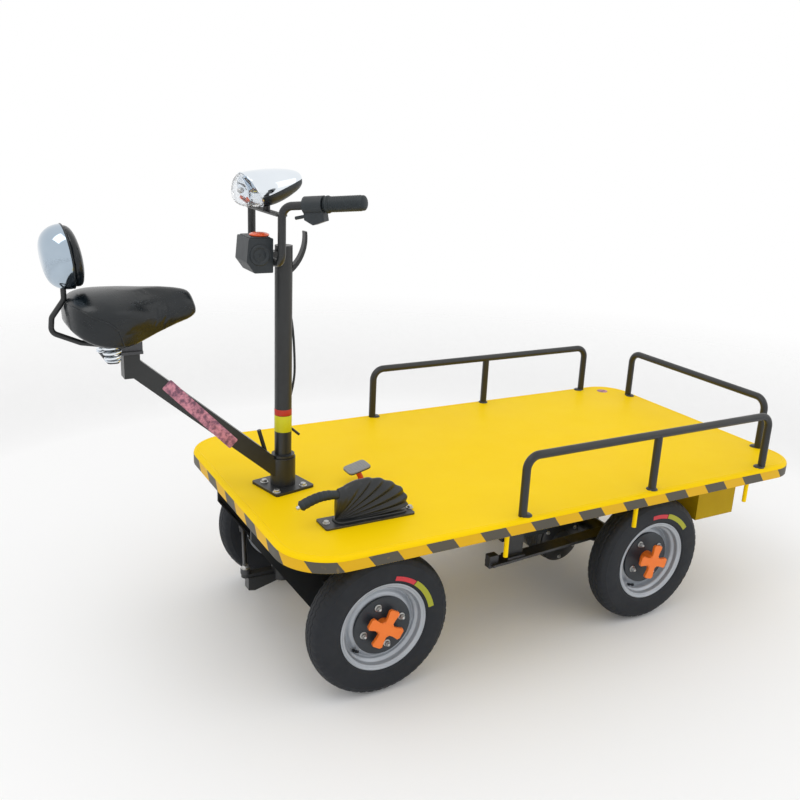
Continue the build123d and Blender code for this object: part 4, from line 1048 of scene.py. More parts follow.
@dataclass(frozen=True)
class Wheel:
    """One wheel about its own axis: tyre with tread and blank labels, rim, hub, cross cap, nuts and valve."""

    name: str
    side: Side
    x: float
    track: float
    disc_face: float
    turn: float
    stickers: tuple = ()
    radius: float = 0.216
    seat: float = 0.1245
    disc: float = 0.088
    stud_circle: float = 0.0615
    blocks: int = 52

    def add(self, label: str, patch: Patch, finish: Finish, *nodes: str) -> None:
        """Makes a piece of a patch about +Z, outer side up, at the wheel's centre.

        Args:
            label: First part of the piece's name.
            patch: The patch.
            finish: Its finish.
            nodes: Nodes of the frame that it replaces.
        """
        centre = (self.x, self.side.value * self.track / 2, self.radius)
        patch = patch.placed(centre, z_axis=(0, self.side.value, 0))
        piece(f"{label}_{self.name}", patch, finish, f"wheel_{self.name}", nodes)

    def build(self) -> None:
        """Builds the wheel's pieces and dresses its nodes."""
        self.tyre()
        self.rim()
        dress(HUB_DARK, f"hub_{self.name}")
        dress(CAP_ORANGE, f"cap_{self.name}")
        self.studs()
        self.valve()
        for sticker in self.stickers:
            self.sticker(*sticker)

    def wall(self) -> Array:
        """The outer tyre wall from the bead to the shoulder as (radius, height), with two moulded rings."""
        keys = [
            (0.134, 0.0375), (0.140, 0.0405), (0.152, 0.0432), (0.170, 0.0438), (0.188, 0.0425), (0.199, 0.0385),
            (0.206, 0.0335),
        ]
        wall = resampled(smoothed(keys, 3, closed=False), 58)
        rings = np.exp(-(((wall[:, 0] - 0.1425) / 0.0012) ** 2)) + np.exp(-(((wall[:, 0] - 0.193) / 0.0016) ** 2))
        wall[:, 1] += 0.0009 * rings
        return wall

    def tyre(self) -> None:
        """The tyre: a round tread between two walls, with zigzag grooves and notched shoulders cut into its radius."""
        wall = self.wall()
        start = wall[-1]
        across = np.linspace(start[1], -start[1], 64)[1:-1]
        crown = start[0] + (self.radius - start[0]) * (1 - (across / start[1]) ** 2) ** 0.75
        shoulder_line = wall[::-1] * np.array([1, -1])
        floor = merged(self.seat, np.linspace(-0.033, 0.033, 6))
        flat, height = np.concatenate([wall, merged(crown, across), shoulder_line, floor]).T
        angle = angles(312)[:, None]
        block = angle * self.blocks / (2 * np.pi)
        zigzag, groove_half, tread_from = 0.0026 * (2 * np.abs(block % 1 * 2 - 1) - 1), 0.0011, 0.2065
        groove_rows, groove_depth, notch_depth = (-0.0145, 0.0, 0.0145), 0.0028, 0.0013
        cut = sum(np.clip(1.7 - np.abs(height - zigzag - y) / groove_half, 0, 1) for y in groove_rows)
        notch = np.clip(1.5 - np.abs((block + 0.25) % 1 - 0.5) / 0.13, 0, 1)
        shoulder = np.clip((np.abs(height) - 0.0225) / 0.002, 0, 1) * np.clip((flat - 0.196) / 0.003, 0, 1)
        radius = flat - groove_depth * np.clip(cut * (flat > tread_from), 0, 1) - notch_depth * notch * shoulder
        self.add("tyre_tread", stack(polar(radius, angle, height), closed=True), RUBBER, f"tyre_{self.name}")

    def rim(self) -> None:
        """The pressed rim: a sheet section with rolled lips and rounded steps, carried round the axis."""
        plate, sheet = 0.008, 0.005
        front = self.disc_face - plate
        back = front - sheet
        root = min(back - 0.011, 0.002)
        points = [
            (0.1355, 0.0378), (0.1325, 0.0402), (0.1295, 0.0392), (0.1275, 0.0368), (0.1205, 0.0362),
            (0.1188, 0.026), (0.1180, 0.0215), (0.1085, 0.0155), (0.1078, root + 0.008), (0.1045, root + 0.0065),
            (self.disc + 0.004, front), (0.0305, front), (0.0305, back), (self.disc + 0.002, back), (0.1062, root),
            (0.1078, -0.016), (0.1190, -0.023), (0.1195, -0.0365), (0.1325, -0.0412), (0.1362, -0.0385),
            (0.1356, -0.0365), (0.1240, -0.0335), (0.1238, -0.0222), (0.1120, -0.0150), (0.1120, 0.0150),
            (0.1238, 0.0222), (0.1240, 0.0335),
        ]
        self.add("rim_pressing", hoop(smoothed(points, 2), 144), SILVER, f"rim_{self.name}")

    def studs(self) -> None:
        """Four domed wheel nuts on their circle, between the arms of the cap."""
        nut = hex_bolt(0.0085, 0.008)
        dome = turned([(0.0052, 0.006), (0.0052, 0.0125), (0.004, 0.0148), (0.0015, 0.0158)], 20)
        places = polar(self.stud_circle, np.radians(self.turn + 90 * np.arange(4)), self.disc_face)
        self.add("wheel_nuts", scattered(joined(nut, dome), places), BRIGHT_STEEL)

    def valve(self) -> None:
        """A short valve with its cap, standing in the rim's well."""
        foot = [(0.0045, 0.0), (0.004, 0.010), (0.003, 0.011), (0.003, 0.014)]
        stem = turned([*foot, (0.0042, 0.0145), (0.0042, 0.022), (0.003, 0.0235)], 20)
        a = math.radians(self.turn + 205)
        c, s, circle_r, lean = math.cos(a), math.sin(a), 0.1075, 0.45
        stem = stem.placed((circle_r * c, circle_r * s, 0.010), z_axis=(-lean * c, -lean * s, 1))
        self.add("valve", stem, RUBBER)

    def sticker(self, label: str, finish: Finish, first: float, last: float, low: float, high: float) -> None:
        """A blank bent label on the tyre wall, lying on the wall's own curve.

        Args:
            label: Its name.
            finish: Its finish.
            first: Angle of one end in degrees, from +X towards +Z.
            last: Angle of the other end.
            low: Inner radius.
            high: Outer radius.
        """
        wall = self.wall()
        radius = np.linspace(low, high, 12)
        height = np.interp(radius, wall[:, 0], wall[:, 1])
        flat = np.concatenate([radius, radius[::-1]])
        rise = np.concatenate([height + 0.0005, height[::-1] - 0.0006])
        angle = np.radians(np.linspace(first, last, 28))[:, None]
        self.add(label, stack(polar(flat, angle, rise)), finish)


@dataclass(frozen=True)
class RunningGear:
    """Axles, knuckles, rods and springs under the platform, with their nuts, leaves and clips."""

    spring_y: float = 0.300
    axle_x: float = 0.593
    rod_top: float = 0.2585
    motor: tuple[float, float, float, float] = (0.431, -0.150, 0.206, 0.084)
    studs: tuple = (
        (-0.657, 0.0, "steering"), (-0.559, 0.300, "knuckle_far_body"),
        (-0.319, -0.300, "knuckle_near_body"), (-0.319, 0.300, "knuckle_far_body"),
    )

    def build(self) -> None:
        """Dresses the gear and adds its small parts."""
        dress(
            BLACK, "front_axle", "axle_hanger_near", "axle_hanger_far", "knuckle_near", "knuckle_far", "rear_axle",
        )
        dress(STEEL, "drag_link", "tie_rod", "leaf_spring_near", "leaf_spring_far")
        for number, (x, y, body) in enumerate(self.studs):
            nut = hex_bolt(0.0105, 0.009).placed((x, y, self.rod_top - 0.0045))
            piece(f"rod_nut_{number}", nut, BRIGHT_STEEL, body)
        for side in Side:
            self.spring_parts(side)
        self.motor_fins()

    def spring_parts(self, side: Side) -> None:
        """Two shorter leaves under the main one and two U-bolts over the axle.

        Args:
            side: Which spring.
        """
        y = side.value * self.spring_y
        leaves = []
        for low, reach in ((0.2805, 0.26), (0.2735, 0.17)):
            outline = rounded_outline(2 * reach, 0.048, 0.012, 6)
            plate = slab(outline, [(low, 0.0008), (low + 0.001, 0), (low + 0.006, 0), (low + 0.007, 0.0008)])
            leaves.append(plate.placed((self.axle_x, y, 0)))
        piece(f"spring_leaves_{side.word}", joined(*leaves), STEEL, "chassis")
        half, turn, bolts = 0.031, np.linspace(0, np.pi, 25), []
        for x in (self.axle_x - 0.038, self.axle_x + 0.038):
            arch = merged(x, y + half * np.cos(turn), 0.290 + 0.016 * np.sin(turn))
            path = np.concatenate([[(x, y + half, 0.176)], arch, [(x, y - half, 0.176)]])
            nuts = [(x, y - half, 0.183), (x, y + half, 0.183)]
            bolts.append(swept(path, 0.004, 12, guide=(1, 0, 0)))
            bolts.append(scattered(hex_bolt(0.008, 0.007), nuts, z_axis=(0, 0, -1)))
        piece(f"spring_u_bolts_{side.word}", joined(*bolts), STEEL, "chassis")

    def motor_fins(self) -> None:
        """Cooling rings round the drive motor that lies across the cart, with its end cover and screws."""
        x, near, z, r = self.motor
        out = (0, -1, 0)
        section = smoothed([(r - 0.002, -0.002), (r + 0.0024, -0.002), (r + 0.0024, 0.002), (r - 0.002, 0.002)], 1)
        places = [(x, near + step, z) for step in np.arange(0.022, 0.085, 0.010)]
        rings = scattered(hoop(section, 84), places, z_axis=out)
        flange = [(r * 0.94, -0.001), (r * 0.94, 0.003), (r * 0.88, 0.006)]
        cover = turned([*flange, (r * 0.42, 0.009), (r * 0.38, 0.014), (0.004, 0.015)], 72)
        piece("motor_fins", joined(rings, cover.placed((x, near, z), z_axis=out)), BLACK, "chassis")
        turn = np.radians(30 + 60 * np.arange(6))
        places = merged(x + r * 0.8 * np.cos(turn), near - 0.0055, z + r * 0.8 * np.sin(turn))
        piece("motor_screws", scattered(hex_bolt(0.006, 0.005), places, z_axis=out), BRIGHT_STEEL, "chassis")


@dataclass(frozen=True)
class Column:
    """The steering column's paint, coloured bands, foot plate bolts and cable."""

    x: float = -0.537
    radius: float = 0.025
    bolts: tuple = ((-0.580, -0.060), (-0.490, -0.043), (-0.586, 0.026), (-0.492, 0.046))
    plate_top: float = 0.515
    cable_route: tuple[Place, ...] = (
        (-0.514, 0.0, 1.020), (-0.507, 0.0, 0.985), (-0.501, 0.0, 0.880), (-0.503, 0.0, 0.830),
        (-0.514, 0.0, 0.786),
    )

    def band(self, name: str, low: float, high: float, finish: Finish) -> None:
        """A thin sleeve with rounded rims round the column.

        Args:
            name: Its name.
            low: Height of its lower rim.
            high: Height of its upper rim.
            finish: Its finish.
        """
        r, rim = self.radius, 0.0006
        outside = [(r + 0.0001, low), (r + PAINT, low + rim), (r + PAINT, high - rim), (r + 0.0001, high)]
        section = [(r - 0.0008, low), *outside, (r - 0.0008, high)]
        piece(name, hoop(section, 72).placed((self.x, 0, 0)), finish, "steering")

    def build(self) -> None:
        """Dresses the column and adds its small parts."""
        dress(BLACK, "steering_column", "column_foot", "seat_arm")
        self.band("column_yellow_band", 0.682, 0.7315, BAND_YELLOW)
        self.band("column_red_band", 0.7325, 0.751, BAND_RED)
        heads = scattered(hex_bolt(0.0095, 0.0075), [(x, y, self.plate_top) for x, y in self.bolts])
        piece("foot_plate_bolts", heads, BRIGHT_STEEL, "chassis")
        self.cable()

    def cable(self) -> None:
        """The cable off the column's rear: a NURBS curve of order three whose control points are the route."""
        data = bpy.data.curves.new("cable_run", "CURVE")
        data.dimensions = "3D"
        data.bevel_depth = 0.0035
        data.bevel_resolution = 5
        data.resolution_u = 18
        data.use_fill_caps = True
        line = data.splines.new("NURBS")
        line.points.add(len(self.cable_route) - 1)
        line.points.foreach_set("co", np.array([(*p, 1.0) for p in self.cable_route], np.float32).ravel())
        line.order_u = 3
        line.use_endpoint_u = True
        data.materials.append(PLASTIC.material())
        obj = shown("cable_run", data)
        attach(obj, "steering")
        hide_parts("column_cable")
        LOG.info("piece cable_run: a cord on steering")


@dataclass(frozen=True)
class Handlebar:
    """The bar with its ribbed grips and the lever clamps' screws."""

    end: Place = (-0.446, 0.300, 1.369)
    bend: Place = (-0.588, 0.115, 1.342)
    grip_length: float = 0.106
    grip_r: float = 0.0195
    overhang: float = 0.010

    def line(self, side: Side) -> tuple[Array, Array]:
        """The bar's end on one side and the unit direction towards its bend."""
        end, bend = (np.array(p) * np.array([1, side.value, 1]) for p in (self.end, self.bend))
        return end, (bend - end) / np.linalg.norm(bend - end)

    def build(self) -> None:
        """Dresses the bar and adds its grips and screws."""
        dress(BLACK, "handlebar")
        dress(PLASTIC, "lever_clamp_near", "lever_clamp_far")
        for side in Side:
            self.grip(side)
            self.clamp_screws(side)

    def grip(self, side: Side) -> None:
        """A ribbed grip: its radius ripples along the middle and widens to a flange at the inner end.

        Args:
            side: Which end of the bar.
        """
        t = np.linspace(0.0, 1.0, 150)
        dome = np.sqrt(np.clip(1 - ((0.07 - t) / 0.07).clip(0) ** 2, 0, 1))
        ribs = 0.0011 * np.abs(np.sin(np.pi * 17 * t)) * ((t > 0.12) & (t < 0.86))
        flange = 0.0035 * np.exp(-(((t - 0.93) / 0.035) ** 4))
        radius = (self.grip_r - 0.0004 + ribs + flange) * np.maximum(dome, 0.05)
        end, along = self.line(side)
        path = end[None] + (t[:, None] * (self.grip_length + self.overhang) - self.overhang) * along[None]
        patch = swept(path, radius, 40, guide=(0, 0, 1))
        piece(f"ribbed_grip_{side.word}", patch, GRIP, "steering", (f"grip_{side.word}",), Skin.SMOOTH)

    def clamp_screws(self, side: Side) -> None:
        """Two small screws on the lever clamp's outer face.

        Args:
            side: Which clamp.
        """
        end, along = self.line(side)
        across = np.cross((0, 0, 1), along) * side.value
        out = across / np.linalg.norm(across)
        places = [end + along * run + out * 0.0128 + np.array([0, 0, -0.031]) for run in (0.124, 0.148)]
        heads = scattered(hex_bolt(0.004, 0.003), places, z_axis=out)
        piece(f"clamp_screws_{side.word}", heads, BRIGHT_STEEL, "steering")


@dataclass(frozen=True)
class Headlight:
    """The egg-shaped light: chrome hood, dark lower cover, clear lens, reflector and lamp."""

    front: float = -0.684
    length: float = 0.196
    height: float = 1.382
    pitch: float = 9.0
    part_x: float = 0.052
    stations: tuple = (
        (0.000, 0.002, 0.003, -0.009), (0.003, 0.016, 0.021, -0.008), (0.012, 0.031, 0.037, -0.006),
        (0.028, 0.042, 0.051, -0.003), (0.052, 0.048, 0.060, 0.0), (0.086, 0.0485, 0.0628, 0.0),
        (0.126, 0.0435, 0.057, 0.002), (0.160, 0.0345, 0.047, 0.004), (0.182, 0.0255, 0.036, 0.006),
        (0.1925, 0.0175, 0.025, 0.007), (0.1957, 0.009, 0.014, 0.007), (0.196, 0.002, 0.003, 0.007),
    )

    def rings(
        self, first: float, last: float, count: int, scale: float = 1.0, spread: tuple = (), sides: int = 72,
    ) -> Array:
        """Egg sections along the light: each is a superellipse of its half height and half width, leaning by its slant.

        Args:
            first: Run from the front of the first ring.
            last: Run of the last ring.
            count: Number of rings.
            scale: Size factor across.
            spread: Degrees to each side of straight down at the first and last ring, or nothing for whole rings.
            sides: Points of each ring.

        Returns:
            Points of shape (count, sides, 3) in the light's own axes.
        """
        table = smoothed(self.stations, 3, closed=False)
        run = np.linspace(first, last, count)
        half_height, half_width, lift = (np.interp(run, table[:, 0], table[:, k])[:, None] for k in (1, 2, 3))
        turn = angles(sides)[None]
        if spread:
            turn = np.radians(np.linspace(-1, 1, sides)[None] * np.linspace(*spread, count)[:, None] - 90)
        c, s = np.cos(turn), np.sin(turn)
        y = half_width * scale * np.sign(c) * np.abs(c) ** 0.9
        z = half_height * scale * np.sign(s) * np.abs(s) ** 0.9 + lift
        slant = np.interp(run, (0.0, 0.02, self.part_x, 0.12, 0.16), (0.0, -0.2, -0.42, -0.15, 0.0))
        return merged(run[:, None] + slant[:, None] * z, y, z)

    def add(self, name: str, patch: Patch, finish: Finish, nodes: tuple = (), skin: Skin = Skin.CREASED) -> None:
        """Pitches a patch made along +X from the light's front and makes a piece of it.

        Args:
            name: The piece's name.
            patch: The patch.
            finish: Its finish.
            nodes: Nodes of the frame that it replaces.
            skin: How its edges are shaded.
        """
        a = math.radians(self.pitch)
        along = np.array([math.cos(a), 0, math.sin(a)])
        up = np.array([-math.sin(a), 0, math.cos(a)])
        middle = np.array([self.front + self.length / 2, 0, self.height])
        piece(name, patch.placed(middle - along * self.length / 2, along, up), finish, "steering", nodes, skin)

    def build(self) -> None:
        """Builds the light's pieces."""
        self.add("headlight_hood", stack(self.rings(self.part_x, self.length, 64)), CHROME, ("headlight_shell",))
        start, angle = self.part_x + 0.004, (70, 95)
        outer = self.rings(start, 0.191, 50, 1.012, angle, 60)
        inner = self.rings(start, 0.191, 50, 0.95, angle, 60)[:, ::-1]
        self.add("headlight_lower_cover", stack(np.concatenate([outer, inner], axis=1)), PLASTIC)
        shell = self.rings(0.0, self.part_x - 0.0004, 40)
        hollow = self.rings(0.0035, self.part_x - 0.0004, 40, 0.93)[::-1]
        self.add("headlight_clear_lens", stack(np.concatenate([shell, hollow])), LENS, ("headlight_lens",))
        self.inside()
        rim = self.rings(self.part_x, self.part_x, 1, 1.006)[0]
        self.add("headlight_trim_ring", swept(rim, 0.0016, 10, closed=True, guide=(1, 0, 0)), CHROME)

    def inside(self) -> None:
        """The reflector bowl, a parabola of the run, with the lamp and two amber side lamps in front of it."""
        across, lamp_x = (0, 1, 0), 0.034
        t = np.linspace(0.02, 1.0, 24)
        depth = 0.026 * (1 - t**2)
        bowl = np.concatenate([merged(0.036 * t, depth), merged(0.0375 * t, depth + 0.002)[::-1]])
        reflector = turned(bowl, 64).placed((self.part_x - 0.022, 0, 0.001), across, (1, 0, 0.1))
        self.add("headlight_reflector", reflector, CHROME)
        lamp = turned([(0.0035, 0.0), (0.0065, 0.003), (0.0075, 0.009), (0.006, 0.015), (0.002, 0.018)], 28)
        lamp = lamp.placed((lamp_x, 0, 0.002), across, (-1, 0, 0))
        self.add("headlight_lamp", lamp, BRIGHT_STEEL, skin=Skin.SMOOTH)
        side_lamp = turned([(0.007, 0.0), (0.007, 0.002), (0.005, 0.005), (0.001, 0.006)], 28)
        places = [(lamp_x, y, -0.020) for y in (-0.024, 0.024)]
        ambers = scattered(side_lamp, places, x_axis=across, z_axis=(-1, 0, -0.3))
        self.add("headlight_amber_lamps", ambers, ORANGE, skin=Skin.SMOOTH)


@dataclass(frozen=True)
class ControlBox:
    """The control box with its lid, a dial in a bezel on each side, and the mushroom button."""

    bezel: tuple = (
        (0.0175, -0.001), (0.0285, -0.001), (0.0285, 0.0024), (0.0255, 0.0044), (0.0205, 0.0040), (0.0175, 0.0020),
    )
    dial: tuple = (
        (0.0185, -0.001), (0.0185, 0.0012), (0.0165, 0.0020), (0.004, 0.0026), (0.0036, 0.0018), (0.0012, 0.0018),
    )
    button: tuple = (
        (0.019, 0.0), (0.019, 0.003), (0.0262, 0.0036), (0.027, 0.0056), (0.0262, 0.0080), (0.021, 0.0106),
        (0.012, 0.0118), (0.002, 0.012),
    )

    def build(self) -> None:
        """Dresses the box and adds its parts."""
        dress(PLASTIC, "control_box")
        low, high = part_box("control_box")
        x, middle_y = (low[0] + high[0]) / 2, (low[1] + high[1]) / 2
        face = joined(hoop(smoothed(self.bezel, 2), 64), turned(self.dial, 56))
        for side, y in ((Side.NEAR, low[1]), (Side.FAR, high[1])):
            placed = face.placed((x, y, low[2] + 0.048), z_axis=(0, side.value, 0))
            piece(f"box_bezel_{side.word}", placed, PLASTIC, "steering")
        outline = rounded_outline(high[0] - low[0] - 0.016, high[1] - low[1] - 0.006, 0.006, 6)
        lid = slab(outline, [(-0.0010, 0), (0.0016, 0), (0.0026, 0.0014)])
        piece("box_lid", lid.placed((x + 0.003, middle_y, high[2])), PLASTIC, "steering")
        lo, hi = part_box("box_button")
        middle = ((lo[0] + hi[0]) / 2, (lo[1] + hi[1]) / 2, lo[2])
        button = turned(self.button, 64).placed(middle)
        piece("mushroom_button", button, ORANGE, "steering", ("box_button",))


@dataclass(frozen=True)
class Saddle:
    """The padded saddle with its welt and springs, the backrest behind it and the arm's label."""

    nose: float = -0.790
    top: float = 1.128
    base: float = 0.985
    sections: tuple = (
        (0.002, 0.020, 0.068, 0.064, 0.056), (0.010, 0.028, 0.062, 0.058, 0.026),
        (0.022, 0.034, 0.056, 0.052, 0.012), (0.062, 0.040, 0.043, 0.045, 0.006),
        (0.105, 0.050, 0.029, 0.046, 0.0055), (0.140, 0.066, 0.016, 0.048, 0.005),
        (0.175, 0.090, 0.006, 0.050, 0.004), (0.205, 0.106, 0.002, 0.051, 0.003),
        (0.240, 0.115, 0.005, 0.051, 0.001), (0.275, 0.117, 0.014, 0.050, 0.001),
        (0.302, 0.107, 0.028, 0.050, 0.006), (0.320, 0.090, 0.042, 0.051, 0.015),
        (0.331, 0.064, 0.054, 0.052, 0.028), (0.3355, 0.034, 0.064, 0.054, 0.042),
    )
    back_x: float = -1.108
    back_z: float = 1.212
    back_half: float = 0.089
    back_height: float = 0.081
    back_lean: float = 8.0
    spring_x: float = -1.022
    spring_y: float = 0.052
    spring_foot: float = 0.950
    seam: tuple = (
        (-0.995, 0.105, 0.990), (-1.002, 0.110, 1.014), (-1.010, 0.113, 1.036), (-1.026, 0.116, 1.053),
        (-1.047, 0.116, 1.067), (-1.085, 0.106, 1.085), (-1.108, 0.075, 1.096), (-1.118, 0.035, 1.100),
        (-1.120, 0.0, 1.101),
    )

    def table(self, count: int) -> Array:
        """The section table with its corners cut, at equal steps along the saddle."""
        fine = smoothed(self.sections, 2, closed=False)
        run = np.linspace(self.sections[0][0], self.sections[-1][0], count)
        return np.stack([np.interp(run, fine[:, 0], fine[:, k]) for k in range(5)], axis=-1)

    def rings(self, count: int = 64) -> Array:
        """Sections across the saddle: a flat base, walls that lean out to the shoulder and a crowned top.

        Args:
            count: Number of sections from the nose back.

        Returns:
            Points of shape (count, points of a section, 3).
        """
        run, half, rise, fall, crown = self.table(count).T[..., None]
        low, shoulder, high = self.base + rise, self.top - fall, self.top - crown
        keys_y = np.array([0.0, 0.55, 0.84, 0.90, 0.97, 1.0, 0.97, 0.82, 0.55, 0.28, 0.0])
        share = np.array([0.0, 0.0, 0.02, 0.2, 0.62, 1.0, 1.3, 1.62, 1.86, 1.97, 2.0])
        y = half * keys_y
        z = low + (np.clip(share, 0, 1) * (shoulder - low) + np.clip(share - 1, 0, 1) * (high - shoulder))
        loop_y = np.concatenate([y, -y[:, -2:0:-1]], axis=1)
        loop_z = np.concatenate([z, z[:, -2:0:-1]], axis=1)
        loops = merged(self.nose - run, loop_y, loop_z)
        flat = loops.transpose(1, 0, 2).reshape(loops.shape[1], -1)
        return smoothed(flat, 2).reshape(-1, count, 3).transpose(1, 0, 2)

    def build(self) -> None:
        """Builds the saddle, its parts and the backrest."""
        dress(STEEL, "saddle_frame")
        dress(BLACK, "backrest_rod")
        cushion = piece("saddle_cushion", stack(self.rings()), VINYL, "seat", ("saddle",), Skin.SMOOTH)
        puffed(cushion, 0.005, 0.005, self.base + 0.035)
        self.piping(cushion)
        self.springs()
        self.backrest()
        self.arm_label()

    def piping(self, cushion: Object) -> None:
        """The welt where the top cover meets the side: it rises from the base on both sides and joins across the rear.

        Args:
            cushion: The finished cushion.
        """
        far = np.array(self.seam)
        line = np.concatenate([far, (far * np.array([1, -1, 1]))[-2::-1]])
        line = laid_on(cushion, resampled(smoothed(line, 2, closed=False), 90), 0.0008)
        path = smoothed(line, 2, closed=False)
        piece("saddle_welt", swept(path, 0.0023, 10, guide=(1, 0, 0)), VINYL, "seat", skin=Skin.SMOOTH)

    def springs(self) -> None:
        """Two chrome coil springs between the rails and the saddle's wide end, with their cups."""
        coil = helix(0.0155, 0.046, 4.0, 0.0042, 0.0045)
        cup = turned([(0.018, 0.0), (0.0205, 0.001), (0.0205, 0.004), (0.016, 0.005)], 32)
        x, sets = self.spring_x, []
        for side in Side:
            y = side.value * self.spring_y
            low, high = cup.placed((x, y, self.spring_foot)), cup.placed((x, y, 1.006), z_axis=(0, 0, -1))
            sets += [coil.placed((x, y, 0.955)), low, high]
        piece("saddle_springs", joined(*sets), CHROME, "seat")
        bar = rounded_outline(0.030, 0.136, 0.010, 6)
        plate = slab(bar, [(0.946, 0.0005), (0.9465, 0), (0.9495, 0), (self.spring_foot, 0.0005)])
        piece("spring_cross_plate", plate.placed((x, 0, 0)), STEEL, "seat")

    def back_outline(self) -> Array:
        """The backrest's egg outline: a cosine height, and a sine width that narrows downwards."""
        turn = angles(72)
        narrow = 1 - 0.33 * ((1 - np.cos(turn)) / 2) ** 1.5
        return merged(self.back_half * np.sin(turn) * narrow, self.back_height * np.cos(turn))

    def back_form(self, levels: list | Array) -> Patch:
        """A domed form of shrinking outlines, leaned away from the rider.

        Args:
            levels: Depth before the seam, size factor and drop of each outline.

        Returns:
            The closed patch.
        """
        depth, size, drop = np.array(levels, float).T[..., None]
        y, z = self.back_outline().T
        return stack(self.leaned(merged(depth, size * y, size * z - drop)))

    def leaned(self, points: Array) -> Array:
        """Turns (depth, y, height) about the Y axis by the lean and moves them to the backrest's middle."""
        a = math.radians(self.back_lean)
        depth, y, height = np.moveaxis(points, -1, 0)
        x = depth * math.cos(a) - height * math.sin(a)
        z = depth * math.sin(a) + height * math.cos(a)
        return merged(x + self.back_x, y, z + self.back_z)

    def backrest(self) -> None:
        """The chrome shell, the swollen pad and the welt between them."""
        turn = math.pi / 2 * np.linspace(0, 1, 20)
        dome = [(-0.004 - 0.058 * math.sin(a), max(0.02, math.cos(a) ** 0.62), 0.0) for a in turn]
        shell = self.back_form([(0.0, 0.985, 0.0), (-0.0015, 1.0, 0.0), *dome])
        # The shell's chrome is the darker, bluer copy of the plating: painted shade and painted reflection.
        piece("backrest_chrome_shell", shell, SHADED_SHELL_CHROME, "seat", ("backrest_shell",))
        levels = [
            (0.0003, 0.94, 0.0), (0.004, 0.955, 0.0), (0.012, 0.945, 0.002), (0.0195, 0.89, 0.005),
            (0.0250, 0.75, 0.009), (0.0280, 0.5, 0.012), (0.0292, 0.22, 0.013),
        ]
        form = self.back_form(smoothed(levels, 2, closed=False))
        pad = piece("backrest_cushion", form, VINYL, "seat", ("backrest_pad",), Skin.SMOOTH)
        puffed(pad, 0.0045, 0.0035)
        edge = self.leaned(merged(0.0012, *(self.back_outline() * 0.985).T))
        welt = swept(edge, 0.0021, 10, closed=True, guide=(1, 0, 0))
        piece("backrest_welt", welt, VINYL, "seat", skin=Skin.SMOOTH)

    def arm_label(self) -> None:
        """A blank label along the near side of the saddle's arm, its long sides along the arm."""
        start, end = np.array([-0.880, 0.8650]), np.array([-0.694, 0.6665])
        length = float(np.linalg.norm(end - start))
        along, middle = (end - start) / length, (start + end) / 2
        outline = rounded_outline(length, 0.034, 0.005, 6)
        label = slab(outline, [(-PAINT, 0), (0.0003, 0), (0.0005, 0.0003)])
        label = label.placed((middle[0], -0.020, middle[1]), (along[0], 0, along[1]), (0, -1, 0))
        piece("blank_arm_label", label, PINK_LABEL, "seat")


@dataclass(frozen=True)
class HandBrake:
    """The parked hand brake: plate bolts, pleated boot and ribbed lever."""

    x: float = -0.410
    y: float = -0.306
    floor: float = 0.513
    front: float = 0.096
    pleats: int = 8

    def build(self) -> None:
        """Dresses the plate and builds the boot and lever."""
        dress(STEEL, "brake_plate")
        heads = scattered(hex_bolt(0.008, 0.006), [(self.x + dx, self.y, self.floor) for dx in (-0.122, 0.139)])
        piece("brake_plate_bolts", heads, BRIGHT_STEEL, "chassis")
        self.boot()
        self.lever()

    def boot(self) -> None:
        """A bellows that fans from its low front corner: each ray is a loop, and the rays swell and pinch in turn."""
        rays, around = 150, 56
        t = np.linspace(0, 1, rays)
        lift = np.radians(3 + 82 * t)
        share = (0, 0.1, 0.2, 0.3, 0.5, 0.7, 0.88, 1.0)
        length = np.interp(t, share, (0.229, 0.227, 0.213, 0.193, 0.157, 0.124, 0.098, 0.090))
        wide = np.interp(t, (0, 0.3, 0.7, 1.0), (0.0265, 0.0262, 0.0225, 0.0175))
        wave = 0.5 - 0.5 * np.cos(2 * np.pi * self.pleats * t**0.8)
        fade = np.clip((0.72 - t) / 0.2, 0.10, 1)
        length = length * (1 - 0.022 * wave * fade)
        wide = wide * (1 - 0.30 * wave * fade)
        turn = angles(around)
        out = 0.5 - 0.5 * np.cos(turn)
        body = np.sin(turn) * out**0.42
        along = length[:, None] * out[None]
        x = self.x - self.front + along * np.cos(lift)[:, None]
        z = self.floor + 0.002 + along * np.sin(lift)[:, None] + 0.004 * t[:, None]
        y = self.y + wide[:, None] * body[None] * 1.12
        bellows = stack(merged(x, y, z))
        skirt = slab(rounded_outline(0.222, 0.052, 0.020, 8), [(0.0, 0), (0.0035, 0.0005), (0.0055, 0.003)])
        skirt = skirt.placed((self.x + 0.011, self.y, self.floor))
        piece("pleated_boot", joined(bellows, skirt), BOOT, "chassis", ("brake_boot",), Skin.SMOOTH)

    def lever(self) -> None:
        """The lever's grip: a slightly bent tube with finger ribs below and a bright button at its tip."""
        t = np.linspace(0, 1, 120)
        x = self.x - 0.082 - 0.120 * t
        z = self.floor + 0.0770 - 0.016 * t + 0.012 * np.sin(np.pi * t)
        ribs = 0.0011 * np.abs(np.sin(np.pi * 9 * t)) * ((t > 0.25) & (t < 0.95))
        ends = np.sqrt(np.clip(1 - ((t - 0.94) / 0.06).clip(0) ** 2, 0.04, 1))
        radius = (0.0122 + 0.0016 * t + ribs) * ends
        grip = swept(merged(x, self.y, z), radius, 32)
        piece("brake_grip", grip, GRIP, "chassis", ("brake_lever",), Skin.SMOOTH)
        button = turned([(0.006, -0.004), (0.006, 0.005), (0.0045, 0.0078), (0.001, 0.0088)], 28)
        button = button.placed((x[-1], self.y, z[-1]), x_axis=(0, 1, 0), z_axis=(-1, 0, -0.35))
        piece("brake_button", button, BRIGHT_STEEL, "chassis")


